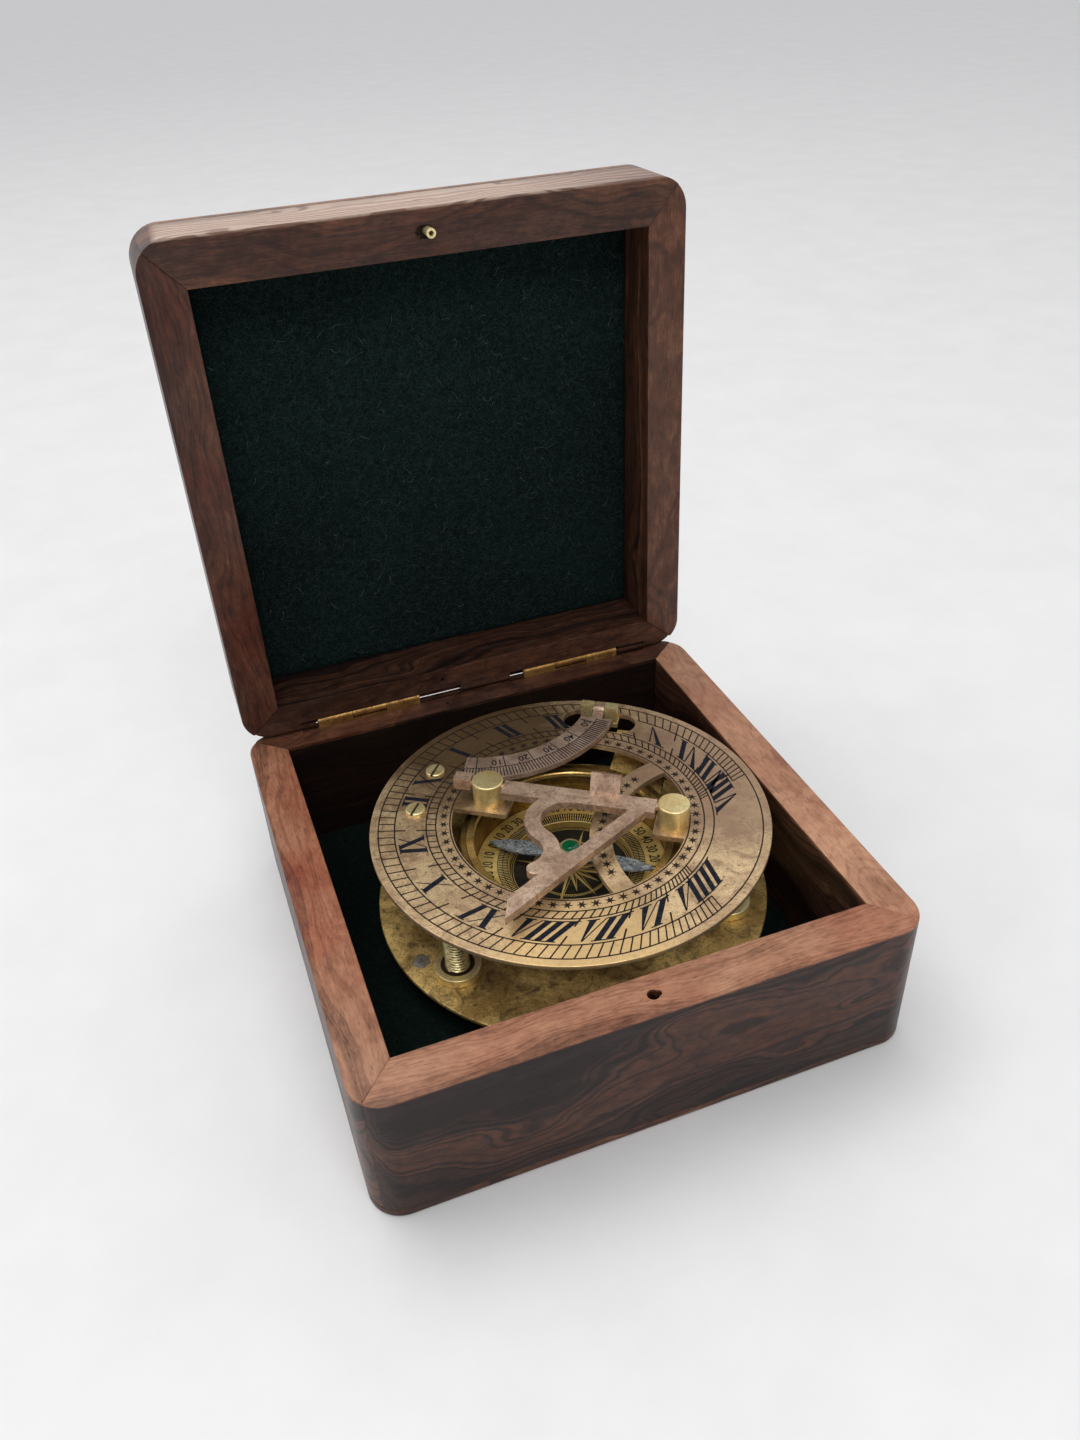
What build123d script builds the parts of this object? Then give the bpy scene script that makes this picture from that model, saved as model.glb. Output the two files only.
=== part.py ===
"""A mitred rosewood box with a felt-lined lid, holding a levelled brass sundial compass.

The origin is the middle of the box's underside. +X is to the right, +Y to the hinges and +Z up.
The box stands as it is used: lid open on its stop, dial folded flat, latitude arc folded down.
"""

import os
from math import acos, asin, cos, degrees, hypot, radians, sin, sqrt

from build123d import *

os.makedirs("parts", exist_ok=True)

# Box, all sizes in millimetres
base_height = 36.7
lid_height = 20.3
side_wall = 9.8
front_wall = 10.6
back_wall = 8.6
corner_radius = 7.5
bottom_board = 4.6
bottom_rim = 2.4
lid_panel = 4.2
lid_edge_round = 1.6
base_edge_round = 0.8
base_felt = 1.2
lid_felt = 1.0
felt_margin = 0.2
seam_gap = 0.2
lid_open_angle = 91.2

# Box hinges
hinge_round = 1.35
knuckle_radius = 1.2
hinge_pin_radius = 0.6
hinge_length = 28.6
hinge_inset = 33.8
knuckle_count = 3
leaf_thickness = 0.8
leaf_depth = 8.0
kerf_clearance = 0.05
recess_clearance = 0.3
recess_outer_run = 0.6
left_slot_outer_run = 4.6
left_inner_run = 12.0
right_slot_outer_run = 8.7
right_inner_run = 4.3
pin_clearance = 0.05
fit_clearance = 0.05
knuckle_gap = 0.12

# Closing pin in the lid's front rim, and its hole in the base
catch_radius = 1.1
catch_bore_radius = 0.55
catch_length = 9.5
catch_stand = 2.4
catch_recess_length = 4.3
catch_recess_width = 2.8
catch_recess_aside = 0.9
catch_recess_depth = 1.8
catch_hole_radius = 1.35
catch_hole_depth = 6.0
second_hole_radius = 0.8
second_hole_offset = 1.1
nail_hole_radius = 0.5
nail_hole_depth = 2.0
nail_hole_x = -8.4
nail_hole_inset = 5.7

# Instrument: its place in the box and its base plate
compass_x = 4.6
compass_y = -0.8
noon_azimuth = 145.4
plate_radius = 48.6
plate_side_gap = 0.5
plate_front_gap = 3.5
plate_thickness = 1.2
plate_top = 15.3
plate_edge = 0.25

# Levelling screws
screw_count = 3
screw_start = 60.0
screw_inset = 9.6
screw_radius = 2.9
screw_foot_gap = 0.1
screw_foot_round = 1.4
head_radius = 5.9
head_bottom = 30.5
head_height = 3.5
head_edge = 0.4
bush_radius = 5.7
bush_height = 2.3
thread_clearance = 0.1

# Compass bowl
bowl_radius = 26.8
bowl_wall = 3.0
bowl_floor = 1.2
bowl_foot_height = 3.0
bowl_rim_z = 32.0
rebate_depth = 2.4
rebate_wall = 1.2
glass_thickness = 1.2
glass_margin = 0.15
bezel_width = 1.9
card_thickness = 0.7
ring_inner_radius = 15.5
ring_thickness = 2.1
ring_margin = 0.15

# Needle
needle_half_length = 21.3
needle_half_width = 2.3
needle_bulge = 12.0
needle_waist = 5.6
needle_waist_half = 1.0
needle_hub_radius = 2.9
needle_thickness = 0.5
needle_z = 24.3
needle_turn = -2.0
cap_radius = 2.6
cap_height = 2.9
cap_lip = 0.45
jewel_height = 0.9
pivot_radius = 0.7
pivot_base_radius = 1.6
pivot_clearance = 0.05

# Dial plate
dial_inset = 0.4
dial_opening = 28.5
dial_thickness = 1.3
dial_top = 37.7
dial_edge = 0.2
works_aside = 1.75
tab_half_width = 4.85
tab_corner = 0.8
noon_tab_reach = 15.0
pole_tab_reach = 20.6
bridge_centre = 39.6
bridge_radius = 31.25
bridge_width = 5.3
bridge_overlap = 2.0
slot_length = 19.5
slot_width = 8.2
slot_end_margin = 9.2
slot_inset = 9.2

# Knobs and gnomon
noon_knob = 20.7
pole_knob = 24.9
knob_radius = 3.8
knob_height = 6.4
knob_edge = 0.35
gnomon_axis_height = 4.6
gnomon_thickness = 2.0
gnomon_gap = 0.3
bar_half_width = 2.5
bar_aside = 1.0
style_angle = 60.0
style_width = 3.4
style_length = 50.2
tip_width = 4.2
tip_slant = 5.0
tip_start = 26.5
taper_length = 3.0
web_rise = 6.6
web_end = 35.5
limb_width = 3.8
limb_noon = -1.0
limb_side = 9.45
limb_radius = 7.75
limb_turn = 60.0
cusp_radius = 6.7
cusp_turn = 110.0
foot_near = 4.4
foot_far = 11.7
foot_angle = 64.0
foot_thickness = 1.1
foot_gap = 0.1
neck_radius = 1.0
neck_clearance = 0.05
neck_seat = 2.0
end_block_half = 1.6
end_block_length = 4.2
end_block_rise = 0.9

# Latitude arc, its posts and bracket
arc_noon_inset = 15.1
arc_side_inset = 5.4
arc_knob_gap = 2.5
arc_width = 8.5
arc_sweep = 84.0
arc_thickness = 1.5
arc_lift = 0.3
arc_foot_length = 3.9
arc_foot_overlap = 0.4
arc_pivot_inset = 6.4
arc_pivot_height = 1.75
arc_foot_margin = 4.7
arc_foot_width = 2.9
arc_eye_radius = 1.4
arc_pin_radius = 0.6
post_width = 3.2
post_depth = 2.6
post_gap = 0.2
post_height = 3.5
arc_bracket_width = 10.2
arc_bracket_depth = 5.6
bracket_thickness = 1.2

# Dial hinge, its screws, bracket and pin
dial_axis_inset = 6.9
dial_axis_drop = 1.8
dial_knuckle_radius = 1.5
dial_pin_radius = 0.75
dial_hinge_width = 22.0
dial_knuckle_width = 7.6
dial_leaf_length = 9.3
dial_leaf_gap = 0.3
dial_screw_reach = 4.1
dial_screw_spacing = 15.4
dial_screw_head = 2.45
dial_screw_head_height = 0.95
dial_screw_slot = 0.7
dial_screw_slot_depth = 0.5
dial_screw_turn = 85.0
dial_screw_edge = 0.4
dial_screw_radius = 1.2
screw_hole_clearance = 0.1
bracket_foot = 9.0
bracket_screw_radius = 1.0
bracket_screw_head = 1.9
bracket_screw_head_height = 0.9

# Rest under the dial's side
rest_near = 4.5
rest_far = 19.0
rest_inset = 10.2
rest_top = 31.5
rest_thickness = 1.2
rest_gap = 0.1

# Worked out from the sizes above: the box is made to fit round the instrument's base plate
box_width = 2 * (compass_x + plate_radius + plate_side_gap + side_wall)
box_depth = 2 * (plate_radius - compass_y + plate_front_gap + front_wall)
half_width = box_width / 2
half_depth = box_depth / 2
hinge_centre = half_width - hinge_inset
inner_half_width = half_width - side_wall
inner_front = half_depth - front_wall
inner_back = half_depth - back_wall
rim_middle_front = half_depth - front_wall / 2
felt_top = bottom_board + base_felt
lid_frame_height = lid_height - lid_panel
hinge_y = half_depth - hinge_round
hinge_z = base_height + seam_gap + hinge_round
leaf_offset = knuckle_radius - leaf_thickness / 2
recess_reach = knuckle_radius + recess_clearance
screw_circle = plate_radius - screw_inset
dial_radius = plate_radius - dial_inset
dial_axis_noon = dial_radius - dial_axis_inset
dial_screw_noon = dial_axis_noon - dial_screw_reach
dial_leaf_reach = dial_axis_noon - dial_leaf_length
dial_bottom = dial_top - dial_thickness
gnomon_z = dial_top + gnomon_axis_height
arc_bottom = dial_top + arc_lift
arc_noon = dial_radius - arc_noon_inset
arc_side = dial_radius - arc_side_inset
arc_pivot_side = dial_radius - arc_pivot_inset
arc_foot_side = arc_pivot_side - arc_foot_length
arc_outer_radius = hypot(arc_noon - noon_knob, arc_side - works_aside) - knob_radius - arc_knob_gap
arc_inner_radius = arc_outer_radius - arc_width
arc_foot_noon = arc_noon - arc_outer_radius + arc_foot_margin
slot_side = dial_radius - slot_inset
slot_noon = arc_foot_noon + slot_end_margin - slot_length / 2
rest_reach = dial_radius - rest_inset
arc_pivot_z = dial_top + arc_pivot_height
dial_axis_z = dial_bottom - dial_axis_drop
plate_bottom = plate_top - plate_thickness
bracket_top = plate_top + bracket_thickness
bowl_floor_top = plate_top + bowl_foot_height + bowl_floor
card_top = bowl_floor_top + card_thickness
ring_top = card_top + ring_thickness
glass_bottom = bowl_rim_z - rebate_depth
glass_top = glass_bottom + glass_thickness
bowl_bore = bowl_radius - bowl_wall
rebate_bore = bowl_radius - rebate_wall
glass_radius = rebate_bore - glass_margin
shaft_bore = screw_radius + thread_clearance
noon_way = (cos(radians(noon_azimuth)), sin(radians(noon_azimuth)), 0)
evening_way = (sin(radians(noon_azimuth)), -cos(radians(noon_azimuth)), 0)
needle_way = (cos(radians(noon_azimuth + needle_turn)), sin(radians(noon_azimuth + needle_turn)), 0)

# The instrument's frame: local x points to noon on the dial, local y to its morning side
noon_frame = Plane(origin=(compass_x, compass_y, 0), x_dir=noon_way, z_dir=(0, 0, 1))
# Its twin for the knobs, gnomon and dial hinge, which stand a little to the evening side
works_frame = Plane(
    origin=noon_frame.from_local_coords(Vector(0, -works_aside, 0)), x_dir=noon_way, z_dir=(0, 0, 1)
)
needle_frame = Plane(origin=(compass_x, compass_y, 0), x_dir=needle_way, z_dir=(0, 0, 1))
# Upright plane through the instrument's middle and noon, for turned parts: local x is the radius
noon_section = Plane(origin=(compass_x, compass_y, 0), x_dir=noon_way, z_dir=evening_way)
compass_axis = Axis((compass_x, compass_y, 0), (0, 0, 1))

# The lid's frame on the hinge axis: local x right, local y to the lid's back, local z to its top
lid_tilt = radians(lid_open_angle)
lid_frame = Plane(
    origin=(0, hinge_y, hinge_z), x_dir=(1, 0, 0), z_dir=(0, sin(lid_tilt), cos(lid_tilt))
)
lid_middle_y = -hinge_y
lid_rim = lid_frame.offset(-hinge_round)
lid_ceiling = lid_frame.offset(lid_frame_height - hinge_round)
base_rim = Plane.XY.offset(base_height)


def save(part, name):
    part.label = name
    export_step(part, f"parts/{name}.step")


def board_corners(side):
    """Corners of one mitred board, from the box's outer corners to the inner ones."""
    outer = {
        "front": ((-half_width, -half_depth), (half_width, -half_depth)),
        "back": ((half_width, half_depth), (-half_width, half_depth)),
        "left": ((-half_width, half_depth), (-half_width, -half_depth)),
        "right": ((half_width, -half_depth), (half_width, half_depth)),
    }[side]
    inner = [
        (inner_half_width if x > 0 else -inner_half_width, inner_back if y > 0 else -inner_front)
        for x, y in reversed(outer)
    ]
    return [*outer, *inner]


def board_sketch(side, centre_y):
    """A board's outline, its outer corners rounded with the box. Call inside BuildSketch."""
    with Locations((0, centre_y)):
        Polygon(*board_corners(side), align=None)
        RectangleRounded(box_width, box_depth, corner_radius, mode=Mode.INTERSECT)


def hinge_spans(left_outer_run, right_outer_run):
    """Left and right ends in x of a cut at each hinge, which runs on past the hinge."""
    near = hinge_centre - hinge_length / 2
    far = hinge_centre + hinge_length / 2
    return [
        (-far - left_outer_run, -near + left_inner_run),
        (near - right_inner_run, far + right_outer_run),
    ]


slot_spans = hinge_spans(left_slot_outer_run, right_slot_outer_run)
recess_spans = hinge_spans(recess_outer_run, recess_outer_run)


# Base: four mitred boards on a rebated bottom board
for side in ("front", "back", "left", "right"):
    with BuildPart() as base_board:
        with BuildSketch(Plane.XY.offset(bottom_rim)):
            board_sketch(side, 0)
        extrude(amount=base_height - bottom_rim)
        if side == "front":
            with Locations(base_rim):
                with Locations((0, -rim_middle_front)):
                    Hole(catch_hole_radius, catch_hole_depth)
                with Locations((second_hole_offset, -rim_middle_front)):
                    Hole(second_hole_radius, catch_hole_depth)
        if side == "back":
            for near, far in slot_spans:
                with BuildSketch(base_rim):
                    with Locations(((near + far) / 2, hinge_y - leaf_offset)):
                        Rectangle(far - near, leaf_thickness + 2 * kerf_clearance)
                extrude(amount=-leaf_depth, mode=Mode.SUBTRACT)
            with Locations(base_rim):
                with Locations((nail_hole_x, half_depth - nail_hole_inset)):
                    Hole(nail_hole_radius, nail_hole_depth)
    save(base_board.part, f"base_{side}_board")

with BuildPart() as base_bottom:
    with BuildSketch():
        RectangleRounded(box_width, box_depth, corner_radius)
    extrude(amount=bottom_rim)
    fillet(base_bottom.faces().sort_by(Axis.Z)[0].edges(), base_edge_round)
    with BuildSketch(Plane.XY.offset(bottom_rim)):
        with Locations((0, (inner_back - inner_front) / 2)):
            Rectangle(
                2 * (inner_half_width - fit_clearance),
                inner_back + inner_front - 2 * fit_clearance,
            )
    extrude(amount=bottom_board - bottom_rim)
save(base_bottom.part, "base_bottom_board")

with BuildPart() as base_lining:
    with BuildSketch(Plane.XY.offset(bottom_board)):
        with Locations((0, (inner_back - inner_front) / 2)):
            Rectangle(
                2 * (inner_half_width - felt_margin),
                inner_back + inner_front - 2 * felt_margin,
            )
    extrude(amount=base_felt)
save(base_lining.part, "base_felt")

# Lid: four mitred boards under a top panel, modelled in the lid's own frame
for side in ("front", "back", "left", "right"):
    with BuildPart() as lid_board:
        with BuildSketch(lid_rim):
            board_sketch(side, lid_middle_y)
        extrude(amount=lid_frame_height)
        if side == "front":
            with BuildSketch(lid_rim):
                with Locations((-catch_recess_aside, lid_middle_y - rim_middle_front)):
                    SlotOverall(catch_recess_length, catch_recess_width)
            extrude(amount=catch_recess_depth, mode=Mode.SUBTRACT)
            with BuildSketch(lid_rim):
                with Locations((0, lid_middle_y - rim_middle_front)):
                    Circle(catch_radius + fit_clearance)
            extrude(amount=catch_length - catch_stand, mode=Mode.SUBTRACT)
        if side == "back":
            back_edge = lid_board.edges().filter_by(Axis.X).sort_by(Axis.Z)[:2].sort_by(Axis.Y)[0]
            fillet(back_edge, hinge_round)
            for near, far in recess_spans:
                with BuildSketch(lid_rim):
                    with Locations(((near + far) / 2, (hinge_round - recess_reach) / 2)):
                        Rectangle(far - near, hinge_round + recess_reach)
                extrude(amount=hinge_round + recess_reach, mode=Mode.SUBTRACT)
            for near, far in slot_spans:
                with BuildSketch(lid_rim):
                    with Locations(((near + far) / 2, -leaf_offset)):
                        Rectangle(far - near, leaf_thickness + 2 * kerf_clearance)
                extrude(amount=hinge_round + recess_reach + leaf_depth, mode=Mode.SUBTRACT)
            with BuildSketch(lid_rim):
                with Locations((nail_hole_x, hinge_round - nail_hole_inset)):
                    Circle(nail_hole_radius)
            extrude(amount=nail_hole_depth, mode=Mode.SUBTRACT)
    save(lid_board.part, f"lid_{side}_board")

with BuildPart() as lid_top:
    with BuildSketch(lid_ceiling):
        with Locations((0, lid_middle_y)):
            RectangleRounded(box_width, box_depth, corner_radius)
    extrude(amount=lid_panel)
    fillet(lid_top.faces().sort_by(Axis(lid_frame.origin, lid_frame.z_dir))[-1].edges(), lid_edge_round)
save(lid_top.part, "lid_top_panel")

with BuildPart() as lid_lining:
    with BuildSketch(lid_ceiling):
        with Locations((0, lid_middle_y + (inner_back - inner_front) / 2)):
            Rectangle(
                2 * (inner_half_width - felt_margin),
                inner_back + inner_front - 2 * felt_margin,
            )
    extrude(amount=-lid_felt)
save(lid_lining.part, "lid_felt")

with BuildPart() as catch_pin:
    with BuildSketch(lid_rim.offset(-catch_stand)):
        with Locations((0, lid_middle_y - rim_middle_front)):
            Circle(catch_radius)
            Circle(catch_bore_radius, mode=Mode.SUBTRACT)
    extrude(amount=catch_length)
save(catch_pin.part, "closing_pin")


def knuckle_span(index):
    """Start and end of one knuckle along its hinge, measured from the hinge's left end."""
    pitch = hinge_length / knuckle_count
    return index * pitch + knuckle_gap / 2, (index + 1) * pitch - knuckle_gap / 2


def box_hinge_leaf(frame, centre_x, knuckles, down):
    """A leaf with its knuckles, rolled about the frame's x axis. It lies below or above that axis."""
    turn = -1 if down else 1
    length = leaf_depth + recess_reach - recess_clearance
    with BuildPart() as leaf:
        with BuildSketch(frame):
            for index in knuckles:
                start, end = knuckle_span(index)
                with Locations((centre_x - hinge_length / 2 + (start + end) / 2, -leaf_offset)):
                    Rectangle(end - start, leaf_thickness)
        extrude(amount=turn * (recess_reach + leaf_thickness))
        with BuildSketch(frame.offset(turn * recess_reach)):
            with Locations((centre_x, -leaf_offset)):
                Rectangle(hinge_length, leaf_thickness)
        extrude(amount=turn * (length - recess_reach))
        for index in knuckles:
            start, end = knuckle_span(index)
            left_end = centre_x - hinge_length / 2 + start
            section = Plane(
                origin=frame.from_local_coords(Vector(left_end, 0, 0)),
                x_dir=frame.y_dir,
                z_dir=frame.x_dir,
            )
            with BuildSketch(section):
                Circle(knuckle_radius)
            extrude(amount=end - start)
            with BuildSketch(section):
                Circle(hinge_pin_radius + pin_clearance)
            extrude(amount=end - start, mode=Mode.SUBTRACT)
    return leaf.part


base_hinge_frame = Plane(origin=(0, hinge_y, hinge_z))
for name, centre_x in (("left", -hinge_centre), ("right", hinge_centre)):
    save(box_hinge_leaf(base_hinge_frame, centre_x, (0, 2), True), f"{name}_hinge_base_leaf")
    save(box_hinge_leaf(lid_frame, centre_x, (1,), False), f"{name}_hinge_lid_leaf")
    with BuildPart() as box_hinge_pin:
        with BuildSketch(Plane.YZ.offset(centre_x - hinge_length / 2)):
            with Locations((hinge_y, hinge_z)):
                Circle(hinge_pin_radius)
        extrude(amount=hinge_length)
    save(box_hinge_pin.part, f"{name}_hinge_pin")

# Instrument base plate, screw bushes and levelling screws
with BuildPart() as base_plate:
    with BuildSketch(noon_frame.offset(plate_bottom)):
        Circle(plate_radius)
        with PolarLocations(screw_circle, screw_count, start_angle=screw_start):
            Circle(shaft_bore, mode=Mode.SUBTRACT)
    extrude(amount=plate_thickness)
    chamfer(base_plate.edges().filter_by(GeomType.CIRCLE).sort_by(SortBy.RADIUS)[-2:], plate_edge)
save(base_plate.part, "base_plate")

with BuildPart() as bushes:
    with BuildSketch(noon_frame.offset(plate_top)):
        with PolarLocations(screw_circle, screw_count, start_angle=screw_start):
            Circle(bush_radius)
            Circle(shaft_bore, mode=Mode.SUBTRACT)
    extrude(amount=bush_height)
    chamfer(bushes.faces().group_by(Axis.Z)[-1].edges().filter_by(GeomType.CIRCLE), plate_edge)
save(bushes.part, "screw_bushes")

for number in range(screw_count):
    angle = screw_start + number * 360 / screw_count
    with BuildPart() as level_screw:
        with BuildSketch(noon_frame.offset(felt_top + screw_foot_gap)):
            with PolarLocations(screw_circle, 1, start_angle=angle):
                Circle(screw_radius)
        extrude(amount=head_bottom - felt_top - screw_foot_gap)
        fillet(level_screw.faces().sort_by(Axis.Z)[0].edges(), screw_foot_round)
        with BuildSketch(noon_frame.offset(head_bottom)):
            with PolarLocations(screw_circle, 1, start_angle=angle):
                Circle(head_radius)
        extrude(amount=head_height)
        chamfer(level_screw.edges().group_by(Axis.Z)[-1], head_edge)
    save(level_screw.part, f"level_screw_{number + 1}")

# Compass bowl with its card, degree ring, glass and bezel
with BuildPart() as bowl:
    with BuildSketch(noon_section):
        with BuildLine():
            Polyline(
                (bowl_bore, plate_top),
                (bowl_radius, plate_top),
                (bowl_radius, bowl_rim_z),
                (rebate_bore, bowl_rim_z),
                (rebate_bore, glass_bottom),
                (bowl_bore, glass_bottom),
                (bowl_bore, bowl_floor_top),
                (0, bowl_floor_top),
                (0, bowl_floor_top - bowl_floor),
                (bowl_bore, bowl_floor_top - bowl_floor),
                close=True,
            )
        make_face()
    revolve(axis=compass_axis)
save(bowl.part, "compass_bowl")

with BuildPart() as card:
    with BuildSketch(noon_frame.offset(bowl_floor_top)):
        Circle(bowl_bore - ring_margin)
        Circle(pivot_radius + pivot_clearance, mode=Mode.SUBTRACT)
    extrude(amount=card_thickness)
save(card.part, "compass_card")

with BuildPart() as degree_ring:
    with BuildSketch(noon_frame.offset(card_top)):
        Circle(bowl_bore - ring_margin)
        Circle(ring_inner_radius, mode=Mode.SUBTRACT)
    extrude(amount=ring_thickness)
    chamfer(degree_ring.edges().group_by(Axis.Z)[-1].sort_by(SortBy.RADIUS)[0], plate_edge)
save(degree_ring.part, "degree_ring")

with BuildPart() as glass:
    with BuildSketch(noon_frame.offset(glass_bottom)):
        Circle(glass_radius)
    extrude(amount=glass_thickness)
save(glass.part, "compass_glass")

with BuildPart() as bezel:
    with BuildSketch(noon_frame.offset(glass_top)):
        Circle(glass_radius)
        Circle(glass_radius - bezel_width, mode=Mode.SUBTRACT)
    extrude(amount=bowl_rim_z - glass_top)
    chamfer(bezel.edges().group_by(Axis.Z)[-1].sort_by(SortBy.RADIUS)[0], plate_edge)
save(bezel.part, "glass_bezel")

pivot_top = needle_z + needle_thickness + cap_height / 2
with BuildPart() as pivot:
    with BuildSketch(noon_section):
        with BuildLine():
            Polyline(
                (0, bowl_floor_top),
                (pivot_radius, bowl_floor_top),
                (pivot_radius, card_top),
                (pivot_base_radius, card_top),
                (pivot_base_radius, card_top + pivot_radius),
                (pivot_radius, card_top + 2 * pivot_radius),
                (pivot_radius, needle_z),
                (0, pivot_top),
                close=True,
            )
        make_face()
    revolve(axis=compass_axis)
save(pivot.part, "needle_pivot")

# Needle with its brass cap and jewel
with BuildPart() as needle:
    with BuildSketch(needle_frame.offset(needle_z)):
        with BuildLine():
            for end in (1, -1):
                for half in (1, -1):
                    ThreePointArc(
                        (end * needle_half_length, 0),
                        (end * needle_bulge, half * needle_half_width),
                        (end * needle_waist, half * needle_waist_half),
                    )
            for half in (1, -1):
                Line(
                    (needle_waist, half * needle_waist_half), (-needle_waist, half * needle_waist_half)
                )
        make_face()
        Circle(needle_hub_radius)
        Circle(pivot_radius + pivot_clearance, mode=Mode.SUBTRACT)
    extrude(amount=needle_thickness)
save(needle.part, "compass_needle")

cap_bottom = needle_z + needle_thickness
with BuildPart() as cap:
    with BuildSketch(noon_section):
        with BuildLine():
            Polyline(
                (pivot_radius + pivot_clearance, cap_bottom),
                (cap_radius, cap_bottom),
                (cap_radius, cap_bottom + cap_height),
                (cap_radius - cap_lip, cap_bottom + cap_height),
                (cap_radius - cap_lip, cap_bottom + cap_height - cap_lip),
                (0, cap_bottom + cap_height - cap_lip),
                (0, pivot_top + pivot_clearance),
                close=True,
            )
        make_face()
    revolve(axis=compass_axis)
save(cap.part, "needle_cap")

jewel_radius = cap_radius - cap_lip - fit_clearance
jewel_seat = cap_bottom + cap_height - cap_lip
with BuildPart() as jewel:
    with BuildSketch(noon_section):
        with BuildLine():
            Polyline(
                (0, jewel_seat + jewel_height), (0, jewel_seat), (jewel_radius, jewel_seat),
                (jewel_radius, jewel_seat + cap_lip),
            )
            JernArc(
                start=(0, jewel_seat + jewel_height), tangent=(1, 0),
                radius=(jewel_radius**2 + (jewel_height - cap_lip) ** 2) / (2 * (jewel_height - cap_lip)),
                arc_size=-2 * degrees(asin((jewel_height - cap_lip) / sqrt(
                    jewel_radius**2 + (jewel_height - cap_lip) ** 2))),
            )
        make_face()
    revolve(axis=compass_axis)
save(jewel.part, "cap_jewel")

# Dial plate: an hour ring with two knob tabs, a curved star bridge and the latitude arc's slot
with BuildPart() as dial:
    with BuildSketch(noon_frame.offset(dial_bottom)):
        Circle(dial_radius)
        Circle(dial_opening, mode=Mode.SUBTRACT)
        with Locations(((noon_tab_reach + dial_opening + tab_corner) / 2, -works_aside)):
            RectangleRounded(dial_opening + tab_corner - noon_tab_reach, 2 * tab_half_width, tab_corner)
        with Locations((-(pole_tab_reach + dial_opening + tab_corner) / 2, -works_aside)):
            RectangleRounded(dial_opening + tab_corner - pole_tab_reach, 2 * tab_half_width, tab_corner)
        # The star bridge runs from side to side on a circle about a point past the pole
        bridge_turn = degrees(acos(
            (bridge_centre**2 + bridge_radius**2 - (dial_opening + bridge_overlap) ** 2)
            / (2 * bridge_centre * bridge_radius)
        ))
        with BuildLine(mode=Mode.PRIVATE) as bridge_line:
            CenterArc((-bridge_centre, 0), bridge_radius, -bridge_turn, 2 * bridge_turn)
        SlotArc(bridge_line.edge(), bridge_width)
        with Locations((slot_noon, -slot_side)):
            SlotOverall(slot_length, slot_width, mode=Mode.SUBTRACT)
        with Locations((dial_screw_noon, -works_aside)):
            with GridLocations(0, dial_screw_spacing, 1, 2):
                Circle(dial_screw_radius + screw_hole_clearance, mode=Mode.SUBTRACT)
    extrude(amount=dial_thickness)
    chamfer(dial.edges().filter_by(GeomType.CIRCLE).sort_by(SortBy.RADIUS)[-2:], dial_edge)
save(dial.part, "dial_plate")

# Knobs, bored along the noon line for the gnomon's necks
noon_bore = Plane(origin=works_frame.from_local_coords(Vector(0, 0, gnomon_z)), x_dir=evening_way,
                  z_dir=noon_way)
for name, place in (("noon_knob", noon_knob), ("pole_knob", -pole_knob)):
    with BuildPart() as knob:
        with BuildSketch(works_frame.offset(dial_top)):
            with Locations((place, 0)):
                Circle(knob_radius)
        extrude(amount=knob_height)
        fillet(knob.edges().group_by(Axis.Z)[-1], knob_edge)
        bore_start = place - knob_radius if name == "noon_knob" else place + knob_radius - neck_seat
        bore_length = 2 * knob_radius if name == "noon_knob" else neck_seat
        with BuildSketch(noon_bore.offset(bore_start)):
            Circle(neck_radius + neck_clearance)
        extrude(amount=bore_length, mode=Mode.SUBTRACT)
    save(knob.part, name)

# Gnomon: a bar between the knobs, a straight style and an S-shaped limb that ties them
style_way = (cos(radians(style_angle)), sin(radians(style_angle)))
bar_noon_end = noon_knob - knob_radius - gnomon_gap
bar_pole_end = -(pole_knob - knob_radius - gnomon_gap)
block_start = noon_knob + knob_radius + gnomon_gap
bar_far_edge = bar_half_width - bar_aside
foot_length = (
    gnomon_axis_height - foot_gap - bar_far_edge - foot_thickness * sin(radians(foot_angle))
) / cos(radians(foot_angle))
# Upright section across the noon line: local x to the evening side, local y up
foot_section = Plane(
    origin=works_frame.from_local_coords(Vector(-foot_near, 0, gnomon_z)),
    x_dir=evening_way,
    z_dir=(-noon_way[0], -noon_way[1], 0),
)


def along_style(distance, aside=0.0):
    """A point on the gnomon, so far along its sloping edge from the pole, and aside towards noon."""
    return (
        bar_pole_end + distance * style_way[0] + aside * style_way[1],
        distance * style_way[1] - aside * style_way[0],
    )


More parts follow.
